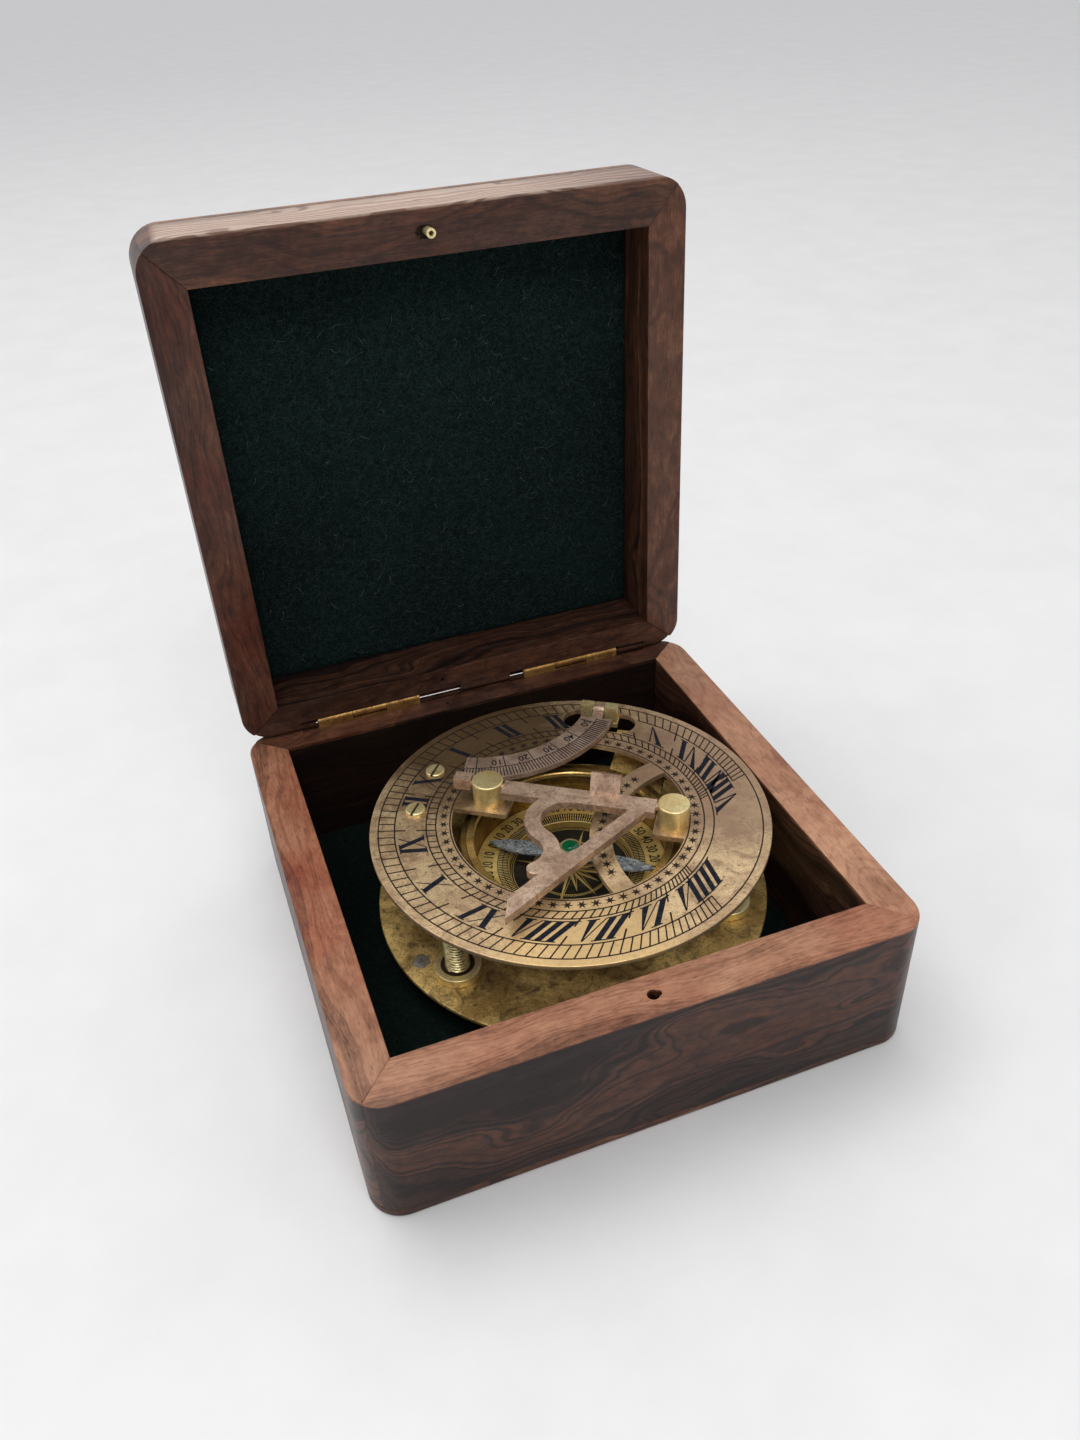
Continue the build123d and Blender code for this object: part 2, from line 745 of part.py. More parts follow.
with BuildPart() as gnomon:
    with BuildSketch(works_frame.offset(gnomon_z - gnomon_thickness / 2)):
        with Locations(((bar_noon_end + bar_pole_end) / 2, bar_aside)):
            Rectangle(bar_noon_end - bar_pole_end, 2 * bar_half_width)
        Polygon(
            along_style(0),
            along_style(style_length),
            along_style(style_length - tip_slant, tip_width),
            along_style(tip_start, tip_width),
            along_style(tip_start - taper_length, style_width),
            along_style(0, style_width),
            align=None,
        )
        Polygon(
            along_style(tip_start, 0),
            along_style(tip_start, web_rise),
            along_style(web_end, web_rise),
            along_style(web_end, 0),
            align=None,
        )
        # The limb arches out of the bar, then curves back the other way into the style
        with BuildLine(mode=Mode.PRIVATE) as arch_line:
            CenterArc((limb_noon, limb_side), limb_radius, -90, 90 + limb_turn)
        SlotArc(arch_line.edge(), limb_width)
        with BuildLine(mode=Mode.PRIVATE) as cusp_line:
            CenterArc(
                (
                    limb_noon + (limb_radius + cusp_radius) * cos(radians(limb_turn)),
                    limb_side + (limb_radius + cusp_radius) * sin(radians(limb_turn)),
                ),
                cusp_radius,
                180 + limb_turn,
                -cusp_turn,
            )
        SlotArc(cusp_line.edge(), limb_width)
    extrude(amount=gnomon_thickness)
    with BuildSketch(works_frame.offset(gnomon_z - gnomon_thickness / 2)):
        with Locations((block_start + end_block_length / 2, 0)):
            Rectangle(end_block_length, 2 * end_block_half)
    extrude(amount=gnomon_thickness + end_block_rise)
    # The foot leans up and out from the bar, and lands on the star bridge when the style is raised
    with BuildSketch(foot_section):
        Polygon(
            (bar_far_edge, gnomon_thickness / 2),
            (
                bar_far_edge + foot_length * cos(radians(foot_angle)),
                gnomon_thickness / 2 + foot_length * sin(radians(foot_angle)),
            ),
            (
                bar_far_edge + foot_length * cos(radians(foot_angle))
                + foot_thickness * sin(radians(foot_angle)),
                gnomon_thickness / 2 + foot_length * sin(radians(foot_angle))
                - foot_thickness * cos(radians(foot_angle)),
            ),
            (bar_far_edge, gnomon_thickness / 2 - foot_thickness / cos(radians(foot_angle))),
            (bar_far_edge - foot_thickness, -gnomon_thickness / 2),
            (bar_far_edge - foot_thickness, gnomon_thickness / 2),
            align=None,
        )
    extrude(amount=foot_far - foot_near)
    with BuildSketch(noon_bore.offset(bar_noon_end)):
        Circle(neck_radius)
    extrude(amount=block_start - bar_noon_end)
    with BuildSketch(noon_bore.offset(bar_pole_end - gnomon_gap - neck_seat + neck_clearance)):
        Circle(neck_radius)
    extrude(amount=gnomon_gap + neck_seat - neck_clearance)
save(gnomon.part, "gnomon")

# Latitude arc: a graduated sector with a foot and eye between its two posts
with BuildPart() as arc:
    with BuildSketch(noon_frame.offset(arc_bottom)):
        with BuildLine():
            sides = []
            for radius in (arc_outer_radius, arc_inner_radius):
                foot_turn = degrees(asin((arc_side - arc_foot_side) / radius))
                sides.append(
                    CenterArc((arc_noon, -arc_side), radius, 180 - arc_sweep, arc_sweep - foot_turn)
                )
            Line(sides[0] @ 0, sides[1] @ 0)
            Line(sides[0] @ 1, sides[1] @ 1)
        make_face()
        with Locations((arc_foot_noon, -(arc_foot_side + arc_pivot_side - arc_foot_overlap) / 2)):
            Rectangle(arc_foot_width, arc_pivot_side - arc_foot_side + arc_foot_overlap)
    extrude(amount=arc_thickness)
    eye_section = Plane(
        origin=noon_frame.from_local_coords(
            Vector(arc_foot_noon - arc_foot_width / 2, -arc_pivot_side, arc_pivot_z)
        ),
        x_dir=evening_way,
        z_dir=noon_way,
    )
    with BuildSketch(eye_section):
        Circle(arc_eye_radius)
    extrude(amount=arc_foot_width)
    with BuildSketch(eye_section):
        Circle(arc_pin_radius + pin_clearance)
    extrude(amount=arc_foot_width, mode=Mode.SUBTRACT)
save(arc.part, "latitude_arc")

post_noon = (arc_foot_width + post_width) / 2 + post_gap
with BuildPart() as arc_bracket:
    with BuildSketch(noon_frame.offset(dial_bottom - bracket_thickness)):
        with Locations((arc_foot_noon, -(slot_side + slot_width / 2))):
            Rectangle(arc_bracket_width, arc_bracket_depth)
    extrude(amount=bracket_thickness)
    with BuildSketch(noon_frame.offset(dial_bottom)):
        with Locations((arc_foot_noon, -arc_pivot_side)):
            with GridLocations(2 * post_noon, 0, 2, 1):
                Rectangle(post_width, post_depth)
    extrude(amount=dial_thickness + post_height)
    with BuildSketch(eye_section.offset(-post_gap - post_width)):
        Circle(arc_pin_radius + pin_clearance)
    extrude(amount=arc_foot_width + 2 * (post_gap + post_width), mode=Mode.SUBTRACT)
save(arc_bracket.part, "arc_posts")

with BuildPart() as arc_pin:
    with BuildSketch(eye_section.offset(-post_gap - post_width)):
        Circle(arc_pin_radius)
    extrude(amount=arc_foot_width + 2 * (post_gap + post_width))
save(arc_pin.part, "arc_pin")

# Dial hinge: a leaf under the plate, a bracket on the base plate and the pin through both
hinge_section = Plane(
    origin=works_frame.from_local_coords(Vector(dial_axis_noon, dial_hinge_width / 2, dial_axis_z)),
    x_dir=noon_way,
    z_dir=evening_way,
)
outer_knuckle = (dial_hinge_width - dial_knuckle_width) / 2 - knuckle_gap
leaf_end = dial_axis_noon - dial_knuckle_radius - dial_leaf_gap

with BuildPart() as dial_leaf:
    with BuildSketch(works_frame.offset(dial_bottom - bracket_thickness)):
        with Locations(((dial_leaf_reach + leaf_end) / 2, 0)):
            Rectangle(leaf_end - dial_leaf_reach, dial_hinge_width)
        with Locations(((leaf_end + dial_axis_noon) / 2, 0)):
            Rectangle(dial_axis_noon - leaf_end, dial_knuckle_width)
        with Locations((dial_screw_noon, 0)):
            with GridLocations(0, dial_screw_spacing, 1, 2):
                Circle(dial_screw_radius + screw_hole_clearance, mode=Mode.SUBTRACT)
    extrude(amount=bracket_thickness)
    with BuildSketch(hinge_section.offset((dial_hinge_width - dial_knuckle_width) / 2)):
        Circle(dial_knuckle_radius)
    extrude(amount=dial_knuckle_width)
    with BuildSketch(hinge_section):
        Circle(dial_pin_radius + pin_clearance)
    extrude(amount=dial_hinge_width, mode=Mode.SUBTRACT)
save(dial_leaf.part, "dial_hinge_leaf")

with BuildPart() as hinge_bracket:
    with BuildSketch(works_frame.offset(plate_top)):
        with Locations((dial_axis_noon + bracket_thickness / 2 - bracket_foot / 2, 0)):
            Rectangle(bracket_foot, dial_hinge_width)
            with GridLocations(0, dial_screw_spacing, 1, 2):
                Circle(bracket_screw_radius + fit_clearance, mode=Mode.SUBTRACT)
    extrude(amount=bracket_thickness)
    with BuildSketch(works_frame.offset(plate_top)):
        with Locations((dial_axis_noon, 0)):
            Rectangle(bracket_thickness, dial_hinge_width)
    extrude(amount=dial_axis_z - dial_knuckle_radius - dial_leaf_gap - plate_top)
    for start in (0, dial_hinge_width - outer_knuckle):
        with BuildSketch(hinge_section.offset(start)):
            with Locations((0, -(dial_knuckle_radius + dial_leaf_gap) / 2)):
                Rectangle(bracket_thickness, dial_knuckle_radius + dial_leaf_gap)
            Circle(dial_knuckle_radius)
            Circle(dial_pin_radius + pin_clearance, mode=Mode.SUBTRACT)
        extrude(amount=outer_knuckle)
save(hinge_bracket.part, "dial_hinge_bracket")

with BuildPart() as dial_pin:
    with BuildSketch(hinge_section):
        Circle(dial_pin_radius)
    extrude(amount=dial_hinge_width)
save(dial_pin.part, "dial_hinge_pin")

with BuildPart() as bracket_screws:
    with BuildSketch(works_frame.offset(plate_top)):
        with Locations((dial_axis_noon + bracket_thickness / 2 - bracket_foot / 2, 0)):
            with GridLocations(0, dial_screw_spacing, 1, 2):
                Circle(bracket_screw_radius)
    extrude(amount=bracket_thickness)
    with BuildSketch(works_frame.offset(bracket_top)):
        with Locations((dial_axis_noon + bracket_thickness / 2 - bracket_foot / 2, 0)):
            with GridLocations(0, dial_screw_spacing, 1, 2):
                Circle(bracket_screw_head)
    extrude(amount=bracket_screw_head_height)
save(bracket_screws.part, "bracket_screws")

with BuildPart() as dial_screws:
    with BuildSketch(works_frame.offset(dial_bottom - bracket_thickness)):
        with Locations((dial_screw_noon, 0)):
            with GridLocations(0, dial_screw_spacing, 1, 2):
                Circle(dial_screw_radius)
    extrude(amount=bracket_thickness + dial_thickness)
    with BuildSketch(works_frame.offset(dial_top)):
        with Locations((dial_screw_noon, 0)):
            with GridLocations(0, dial_screw_spacing, 1, 2):
                Circle(dial_screw_head)
    extrude(amount=dial_screw_head_height)
    fillet(dial_screws.edges().group_by(Axis.Z)[-1], dial_screw_edge)
    with BuildSketch(works_frame.offset(dial_top + dial_screw_head_height)):
        with Locations((dial_screw_noon, 0)):
            with GridLocations(0, dial_screw_spacing, 1, 2):
                Rectangle(2 * dial_screw_head, dial_screw_slot, rotation=dial_screw_turn)
    extrude(amount=-dial_screw_slot_depth, mode=Mode.SUBTRACT)
save(dial_screws.part, "dial_screws")

# Rest that carries the folded dial, from the bowl's side out under the hour ring
with BuildPart() as dial_rest:
    with BuildSketch(noon_frame.offset(rest_top - rest_thickness)):
        with Locations((-(rest_near + rest_far) / 2, -rest_reach / 2)):
            Rectangle(rest_far - rest_near, rest_reach)
        Circle(bowl_radius + fit_clearance, mode=Mode.SUBTRACT)
    extrude(amount=rest_thickness)
    with BuildSketch(noon_frame.offset(rest_top)):
        with Locations((-(rest_near + rest_far) / 2, -rest_reach + rest_thickness / 2)):
            Rectangle(rest_far - rest_near, rest_thickness)
    extrude(amount=dial_bottom - rest_gap - rest_top)
save(dial_rest.part, "dial_rest")
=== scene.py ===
"""Looks of the boxed sundial compass: wood, felt, aged brass, engraving, threads, light and camera.

Sizes are millimetres, except the felts' flat size, the floor, the lamps and the camera's place, which are
metres. On the instrument u points to noon, v to the evening side.
"""

import random
from math import atan2, cos, degrees, hypot, pi, radians, sin

import bmesh
import bpy
from mathutils import Matrix, Vector


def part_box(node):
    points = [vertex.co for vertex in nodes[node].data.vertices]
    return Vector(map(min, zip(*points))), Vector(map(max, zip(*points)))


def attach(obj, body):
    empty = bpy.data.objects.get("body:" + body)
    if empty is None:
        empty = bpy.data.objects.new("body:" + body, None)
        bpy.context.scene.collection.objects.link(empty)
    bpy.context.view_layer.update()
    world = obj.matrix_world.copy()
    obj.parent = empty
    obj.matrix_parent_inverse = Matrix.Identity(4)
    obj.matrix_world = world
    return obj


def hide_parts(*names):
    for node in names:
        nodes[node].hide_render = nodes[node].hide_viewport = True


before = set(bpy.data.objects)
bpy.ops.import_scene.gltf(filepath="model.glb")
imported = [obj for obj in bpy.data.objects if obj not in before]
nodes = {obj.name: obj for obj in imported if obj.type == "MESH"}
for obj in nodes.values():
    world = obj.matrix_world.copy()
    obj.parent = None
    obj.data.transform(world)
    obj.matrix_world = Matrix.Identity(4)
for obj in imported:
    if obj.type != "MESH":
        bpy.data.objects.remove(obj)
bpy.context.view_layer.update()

MM = 0.001

# The instrument's place and the levels of its faces
compass_x = 4.6
compass_y = -0.8
noon_azimuth = 145.4
noon = (cos(radians(noon_azimuth)), sin(radians(noon_azimuth)))
evening = (sin(radians(noon_azimuth)), -cos(radians(noon_azimuth)))
dial_top = 37.7
plate_top = 15.3
card_top = 20.2
ring_top = 22.3
arc_top = 39.5
felt_top = 5.8


def put(u, v, z):
    """A point of the instrument, in metres in the row frame."""
    return Vector((
        (compass_x + u * noon[0] + v * evening[0]) * MM,
        (compass_y + u * noon[1] + v * evening[1]) * MM,
        z * MM,
    ))


class Solid:
    """Vertices and faces of one piece."""

    def __init__(self):
        self.points = []
        self.faces = []

    def prism(self, outline, low, high):
        """A solid with one outline, from low to high."""
        start = len(self.points)
        count = len(outline)
        for z in (low, high):
            for a, b in outline:
                self.points.append(put(a, b, z))
        self.faces.append(tuple(start + count + i for i in range(count)))
        self.faces.append(tuple(start + i for i in reversed(range(count))))
        for i in range(count):
            j = (i + 1) % count
            self.faces.append((start + i, start + j, start + count + j, start + count + i))

    def strip(self, line, width, low, high):
        """A raised line along points, of one width."""
        sides = ([], [])
        for i, (a, b) in enumerate(line):
            before = line[max(i - 1, 0)]
            after = line[min(i + 1, len(line) - 1)]
            da, db = after[0] - before[0], after[1] - before[1]
            run = hypot(da, db) or 1.0
            na, nb = -db / run * width / 2, da / run * width / 2
            sides[0].append((a + na, b + nb))
            sides[1].append((a - na, b - nb))
        start = len(self.points)
        count = len(line)
        for z in (low, high):
            for side in sides:
                for a, b in side:
                    self.points.append(put(a, b, z))
        left_low, right_low, left_high, right_high = (start + k * count for k in range(4))
        for i in range(count - 1):
            self.faces.append((left_high + i, left_high + i + 1, right_high + i + 1, right_high + i))
            self.faces.append((left_low + i, right_low + i, right_low + i + 1, left_low + i + 1))
            self.faces.append((left_low + i, left_low + i + 1, left_high + i + 1, left_high + i))
            self.faces.append((right_low + i, right_high + i, right_high + i + 1, right_low + i + 1))
        for i in (0, count - 1):
            self.faces.append((left_low + i, left_high + i, right_high + i, right_low + i))

    def turned(self, rings, count, centre, wave=None):
        """A closed turned solid: rings of (radius, height), wave(angle, ring) moves a radius."""
        start = len(self.points)
        for k, (radius, z) in enumerate(rings):
            for i in range(count):
                angle = 2 * pi * i / count
                r = radius + (wave(angle, k, z) if wave else 0)
                self.points.append(put(centre[0] + r * cos(angle), centre[1] + r * sin(angle), z))
        for k in range(len(rings) - 1):
            for i in range(count):
                j = (i + 1) % count
                a, b = start + k * count, start + (k + 1) * count
                self.faces.append((a + i, a + j, b + j, b + i))
        last = start + (len(rings) - 1) * count
        self.faces.append(tuple(start + i for i in reversed(range(count))))
        self.faces.append(tuple(last + i for i in range(count)))

    def add_mesh(self, mesh, move):
        """A copy of a mesh, each of its points moved by move."""
        start = len(self.points)
        for vertex in mesh.vertices:
            self.points.append(move(vertex.co))
        for polygon in mesh.polygons:
            self.faces.append(tuple(start + i for i in polygon.vertices))

    def build(self, name, material, body, slot, smooth=None, outward=True):
        """Makes the piece. smooth is the angle in degrees up to which edges are shaded smooth."""
        mesh = bpy.data.meshes.new(name)
        mesh.from_pydata([tuple(p) for p in self.points], [], self.faces)
        if outward:
            form = bmesh.new()
            form.from_mesh(mesh)
            bmesh.ops.recalc_face_normals(form, faces=form.faces)
            form.to_mesh(mesh)
            form.free()
        mesh.materials.append(material)
        piece = bpy.data.objects.new(name, mesh)
        bpy.context.scene.collection.objects.link(piece)
        if smooth is not None:
            for polygon in mesh.polygons:
                polygon.use_smooth = True
            mesh.set_sharp_from_angle(angle=radians(smooth))
        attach(piece, body)
        return piece


def srgb(red, green, blue):
    """A colour as seen, 0 to 255, as the shader needs it."""
    def linear(value):
        value /= 255
        return value / 12.92 if value <= 0.04045 else ((value + 0.055) / 1.055) ** 2.4
    return (linear(red), linear(green), linear(blue), 1.0)


class Look:
    """A procedural material being wired up."""

    def __init__(self, name):
        self.material = bpy.data.materials.new(name)
        self.material.use_nodes = True
        self.tree = self.material.node_tree
        self.tree.nodes.clear()
        self.output = self.node("ShaderNodeOutputMaterial")
        self.shader = self.node("ShaderNodeBsdfPrincipled")
        self.link(self.shader.outputs[0], self.output.inputs["Surface"])
        self.place = self.node("ShaderNodeTexCoord").outputs["Object"]

    def node(self, kind, **settings):
        node = self.tree.nodes.new(kind)
        for key, value in settings.items():
            setattr(node, key, value)
        return node

    def link(self, source, target):
        if isinstance(source, bpy.types.NodeSocket):
            self.tree.links.new(source, target)
        else:
            target.default_value = source

    def math(self, kind, a, b, clamp=False):
        node = self.node("ShaderNodeMath", operation=kind, use_clamp=clamp)
        self.link(a, node.inputs[0])
        self.link(b, node.inputs[1])
        return node.outputs[0]

    def plus(self, a, b):
        return self.math("ADD", a, b)

    def minus(self, a, b):
        return self.math("SUBTRACT", a, b)

    def times(self, a, b):
        return self.math("MULTIPLY", a, b)

    def vector(self, kind, *given, scale=None, output="Vector"):
        node = self.node("ShaderNodeVectorMath", operation=kind)
        for value, socket in zip(given, node.inputs):
            self.link(value, socket)
        if scale is not None:
            node.inputs["Scale"].default_value = scale
        return node.outputs[output]

    def stretch(self, scale, shift=(0, 0, 0), turn=(0, 0, 0), source=None):
        node = self.node("ShaderNodeMapping")
        self.link(source or self.place, node.inputs["Vector"])
        node.inputs["Scale"].default_value = scale
        node.inputs["Location"].default_value = shift
        node.inputs["Rotation"].default_value = turn
        return node.outputs[0]

    def noise(self, scale, detail=3.0, roughness=0.5, distortion=0.0, source=None, flat=False):
        node = self.node("ShaderNodeTexNoise", noise_dimensions="1D" if flat else "3D")
        node.inputs["Scale"].default_value = scale
        node.inputs["Detail"].default_value = detail
        node.inputs["Roughness"].default_value = roughness
        node.inputs["Distortion"].default_value = distortion
        self.link(source or self.place, node.inputs["W" if flat else "Vector"])
        return node

    def ramp(self, value, stops):
        node = self.node("ShaderNodeValToRGB")
        ramp = node.color_ramp
        while len(ramp.elements) < len(stops):
            ramp.elements.new(0.5)
        for element, (position, colour) in zip(ramp.elements, stops):
            element.position = position
            element.color = colour if hasattr(colour, "__len__") else (colour, colour, colour, 1)
        self.link(value, node.inputs["Fac"])
        return node.outputs["Color"]

    def rise(self, value, low, high, share=None):
        """From 0 where value is low to 1 where it is high, or to a share of that."""
        risen = self.ramp(value, [(low, 0.0), (high, 1.0)])
        return risen if share is None else self.times(risen, share)

    def mix(self, share, first, second, blend="MIX"):
        node = self.node("ShaderNodeMix", data_type="RGBA", blend_type=blend)
        self.link(share, node.inputs[0])
        self.link(first, node.inputs[6])
        self.link(second, node.inputs[7])
        return node.outputs[2]

    def bump(self, height, depth, strength=1.0, under=None):
        """A bump of that depth in millimetres."""
        node = self.node("ShaderNodeBump")
        node.inputs["Strength"].default_value = strength
        node.inputs["Distance"].default_value = depth * MM
        self.link(height, node.inputs["Height"])
        if under is not None:
            self.link(under, node.inputs["Normal"])
        return node.outputs["Normal"]

    def set(self, **values):
        for key, value in values.items():
            self.link(value, self.shader.inputs[key.replace("_", " ")])
        return self.material


def wood(name, axes, seed, rim, walls, pale, rim_pale_and_lit, inner, red, sap, painted_sheen):
    """Rosewood whose grain runs along the first of three axes.

    rim is a point of the sanded rim and the way into the board. walls are the box's inner faces, darkened
    by inner. sap, if given, is where pale sapwood starts: a depth under the rim and a height. The last
    argument, if given, is the height above which the lid's top face is painted pale, with grain: a painted
    sheen, as that face shows at a grazing angle, less towards its right end.
    """
    look = Look(name)
    split = look.node("ShaderNodeSeparateXYZ")
    look.link(look.place, split.inputs[0])
    parts = dict(zip("xyz", split.outputs))
    chance = random.Random(seed)
    join = look.node("ShaderNodeCombineXYZ")
    for axis, shift, socket in zip(axes, (chance.uniform(-0.5, 0.5), 0.0, 0.0), join.inputs):
        look.link(look.plus(parts[axis], shift), socket)
    board = join.outputs[0]

    def along_grain(scale, detail, roughness, distortion=0.0, shift=(0, 0, 0)):
        """Noise with its own scale along the grain and across it."""
        return look.noise(1.0, detail, roughness, distortion, look.stretch(scale, shift, source=board))

    def sway(source, reach, under):
        """Moves points by up to reach metres, after a noise."""
        centred = look.vector("SUBTRACT", source.outputs["Color"], (0.5, 0.5, 0.5))
        return look.vector("ADD", under, look.vector("SCALE", centred, scale=reach))

    slow = along_grain((15, 36, 36), 2.0, 0.5, 0.2, (seed * 1.7, 0, 0))
    quick = along_grain((180, 240, 240), 2.0, 0.5, shift=(0, seed * 1.3, 0))
    pith = look.vector("MULTIPLY_ADD", sway(quick, 0.0012, sway(slow, 0.028, board)), (0.08, 1, 1),
                       (0, chance.uniform(0.01, 0.04), chance.uniform(-0.07, -0.03)))
    radius = look.vector("LENGTH", pith, output="Value")
    broad = look.noise(105, 2.5, 0.55, source=radius, flat=True).outputs[0]
    fine = look.noise(1150, 1.5, 0.5, source=radius, flat=True).outputs[0]
    fibre = along_grain((160, 2600, 2600), 4.0, 0.75).outputs[0]
    mottle = along_grain((240, 420, 420), 4.0, 0.7).outputs[0]
    pore_dots = look.node("ShaderNodeTexVoronoi", feature="F1")
    pore_dots.inputs["Scale"].default_value = 1.0
    look.link(look.stretch((260, 1900, 1900), source=board), pore_dots.inputs["Vector"])
    pores = look.ramp(pore_dots.outputs["Distance"], [(0.05, 1.0), (0.26, 0.0)])
    depth = look.vector("DOT_PRODUCT", look.vector("SUBTRACT", look.place, rim[0]), rim[1], output="Value")
    under_rim = look.times(depth, 1 / MM)
    sanded_and_lit = look.ramp(under_rim, [(0.10, 1.0), (0.75, 0.0)])
    bands = look.ramp(broad, [(0.34, 0.0), (0.41, 0.30), (0.46, 0.62), (0.55, 0.72), (0.59, 0.92),
                              (0.70, 1.0)])
    growth = look.ramp(fine, [(0.38, 0.0), (0.48, 0.8), (0.60, 1.0)])

    # Tone of the figure, calmer on the sanded rim, and its colours
    calm = look.minus(0.27, look.times(sanded_and_lit, 0.15))
    tone = look.times(look.minus(bands, 0.5), calm)
    tone = look.plus(tone, look.times(growth, look.minus(0.14, look.times(sanded_and_lit, 0.09))))
    figure = look.times(mottle, look.minus(0.34, look.times(sanded_and_lit, 0.06)))
    # Here and below the rim is made paler: partly its sanded wood, partly painted light on the lit top
    # faces
    tone = look.plus(tone, look.plus(figure, look.times(sanded_and_lit, 0.09)))
    for part, share in ((fibre, 0.24), (sanded_and_lit, rim_pale_and_lit)):
        tone = look.plus(tone, look.times(part, share))
    tone = look.plus(tone, pale + 0.04)
    colour = look.ramp(tone, [
        (0.26, srgb(30, 20, 18)),
        (0.40, srgb(60, 39, 31)),
        (0.52, srgb(96, 63, 46)),
        (0.66, srgb(148, 105, 80)),
        (0.84, srgb(188, 144, 114)),
    ])
    patch = look.noise(24, 4, 0.65, source=board).outputs[0]
    colour = look.mix(look.rise(patch, 0.35, 0.7, red), colour, srgb(150, 58, 44), "SOFT_LIGHT")
    veil = along_grain((60, 260, 260), 4, 0.7).outputs[0]
    colour = look.mix(look.rise(veil, 0.48, 0.75, 0.07), colour, srgb(150, 124, 116))
    colour = look.mix(look.times(pores, 0.55), colour, srgb(30, 19, 16))
    if sap:
        deepest = 25
        streak = look.times(look.plus(under_rim, look.times(mottle, 1.6)), 1 / deepest)
        streak = look.rise(streak, (sap[0] + 0.5) / deepest, (sap[0] + 1.3) / deepest)
        height = look.times(look.minus(parts["z"], sap[1] * MM), 1 / MM)
        height = look.plus(height, look.minus(mottle, 0.5))
        streak = look.times(streak, look.rise(height, 0.0, 0.8))
        shade = look.mix(look.rise(fibre, 0.35, 0.65), srgb(140, 92, 60), srgb(214, 160, 108))
        colour = look.mix(look.times(streak, 0.85), colour, shade)
    # Painted sheen: the lid's top face is painted pale above a height, with grain in it, fading towards its
    # right end
    if painted_sheen:
        above = look.times(look.minus(parts["z"], painted_sheen * MM), 1 / MM)
        above = look.ramp(above, [(0.0, 0.0), (0.5, 0.66)])
        across = look.plus(look.times(parts["x"], 5.0), 0.5)
        above = look.times(above, look.ramp(across, [(0.60, 1.0), (0.80, 0.25)]))
        sheen_grain = look.rise(look.plus(look.times(fibre, 0.6), look.times(growth, 0.4)), 0.35, 0.75)
        colour = look.mix(above, colour, look.mix(sheen_grain, srgb(160, 126, 108), srgb(222, 198, 180)))

    # The inner faces, in the shade of the box
    gap = look.minus(depth, 0.0012)
    for axis, low, high in walls:
        for side in (look.minus(parts[axis], low * MM), look.minus(high * MM, parts[axis])):
            gap = look.math("MINIMUM", gap, side)
    inside = look.times(look.math("GREATER_THAN", gap, -0.00015), inner)
    colour = look.mix(inside, colour, srgb(22, 15, 13))
    relief = look.minus(look.times(fibre, 0.5), pores)
    rough = look.ramp(mottle, [(0.3, 0.38), (0.7, 0.54)])
    return look.set(Base_Color=colour, Roughness=rough, Normal=look.bump(relief, 0.07, 0.8),
                    Specular_IOR_Level=0.12, Coat_Weight=0.3, Coat_Roughness=0.2)


def brass(name, bright, dull, stain, grime, rough, blotch, scratch=0.35, *, metal, painted_light=(), relief=0.05):
    """Aged brass: bright metal, dull patches and dark stains. metal is how little its skin is oxidised.

    The patches listed are painted light and shade: each a middle, reach in millimetres, colour and share.
    relief is the pitting's depth.
    """
    look = Look(name)
    patches = look.noise(blotch, 5, 0.66, 0.5).outputs[0]
    specks = look.noise(blotch * 9, 4, 0.7).outputs[0]
    stains = look.noise(blotch * 2.6, 5, 0.7, 0.8).outputs[0]
    pits = look.noise(2900, 2, 0.6).outputs[0]
    colour = look.mix(look.rise(patches, 0.40, 0.60), bright, dull)
    marks = look.rise(stains, 0.48, 0.66, grime)
    for share in (marks, look.rise(specks, 0.58, 0.68, grime), look.rise(pits, 0.56, 0.68, grime)):
        colour = look.mix(share, colour, stain)
    # Painted light and shade: patches that darken or lighten the colour about a point
    for middle, reach, shade, share in painted_light:
        away = look.vector("DISTANCE", look.place, middle, output="Value")
        near = look.math("SUBTRACT", 1.0, look.times(away, 1 / (reach * MM)), clamp=True)
        near = look.rise(look.plus(near, look.times(stains, 0.6)), 0.45, 0.8, share)
        colour = look.mix(near, colour, shade)
    lines = look.noise(1.0, 3, 0.6, source=look.stretch((2600, 1800, 2200), turn=(0, 0, 0.6))).outputs[0]
    spread = look.plus(look.times(stains, 0.6), look.times(lines, 0.4))
    spread = look.ramp(spread, [(0.35, rough[0]), (0.65, rough[1])])
    normal = look.bump(lines, 0.02, scratch, look.bump(specks, relief, scratch))
    skin = look.ramp(marks, [(0.0, metal), (0.8, metal * 0.75)])
    return look.set(Base_Color=colour, Metallic=skin, Roughness=spread, Normal=normal)


def felt(name, dark, light):
    """Woollen felt, cloudy and without shine."""
    look = Look(name)
    wool = look.noise(900, 4, 0.7, 1.2).outputs[0]
    cloud = look.noise(30, 4, 0.6).outputs[0]
    colour = look.mix(look.rise(wool, 0.35, 0.70), dark, light)
    colour = look.mix(look.rise(cloud, 0.4, 0.66, 0.6), colour, dark)
    return look.set(Base_Color=colour, Roughness=0.95, Normal=look.bump(wool, 0.35, 0.8), Sheen_Weight=0.35,
                    Sheen_Roughness=0.5, Sheen_Tint=light, Specular_IOR_Level=0.1)


def plain(name, dark, light, scale, rough, bump_depth=0.03, **more):
    """One colour with a little variation."""
    look = Look(name)
    grain = look.noise(scale, 4, 0.65).outputs[0]
    colour = look.mix(look.rise(grain, 0.35, 0.65), dark, light)
    return look.set(Base_Color=colour, Roughness=rough, Normal=look.bump(grain, bump_depth, 0.6), **more)


def dress(node, material):
    """Gives a node one material."""
    node.data.materials.clear()
    node.data.materials.append(material)


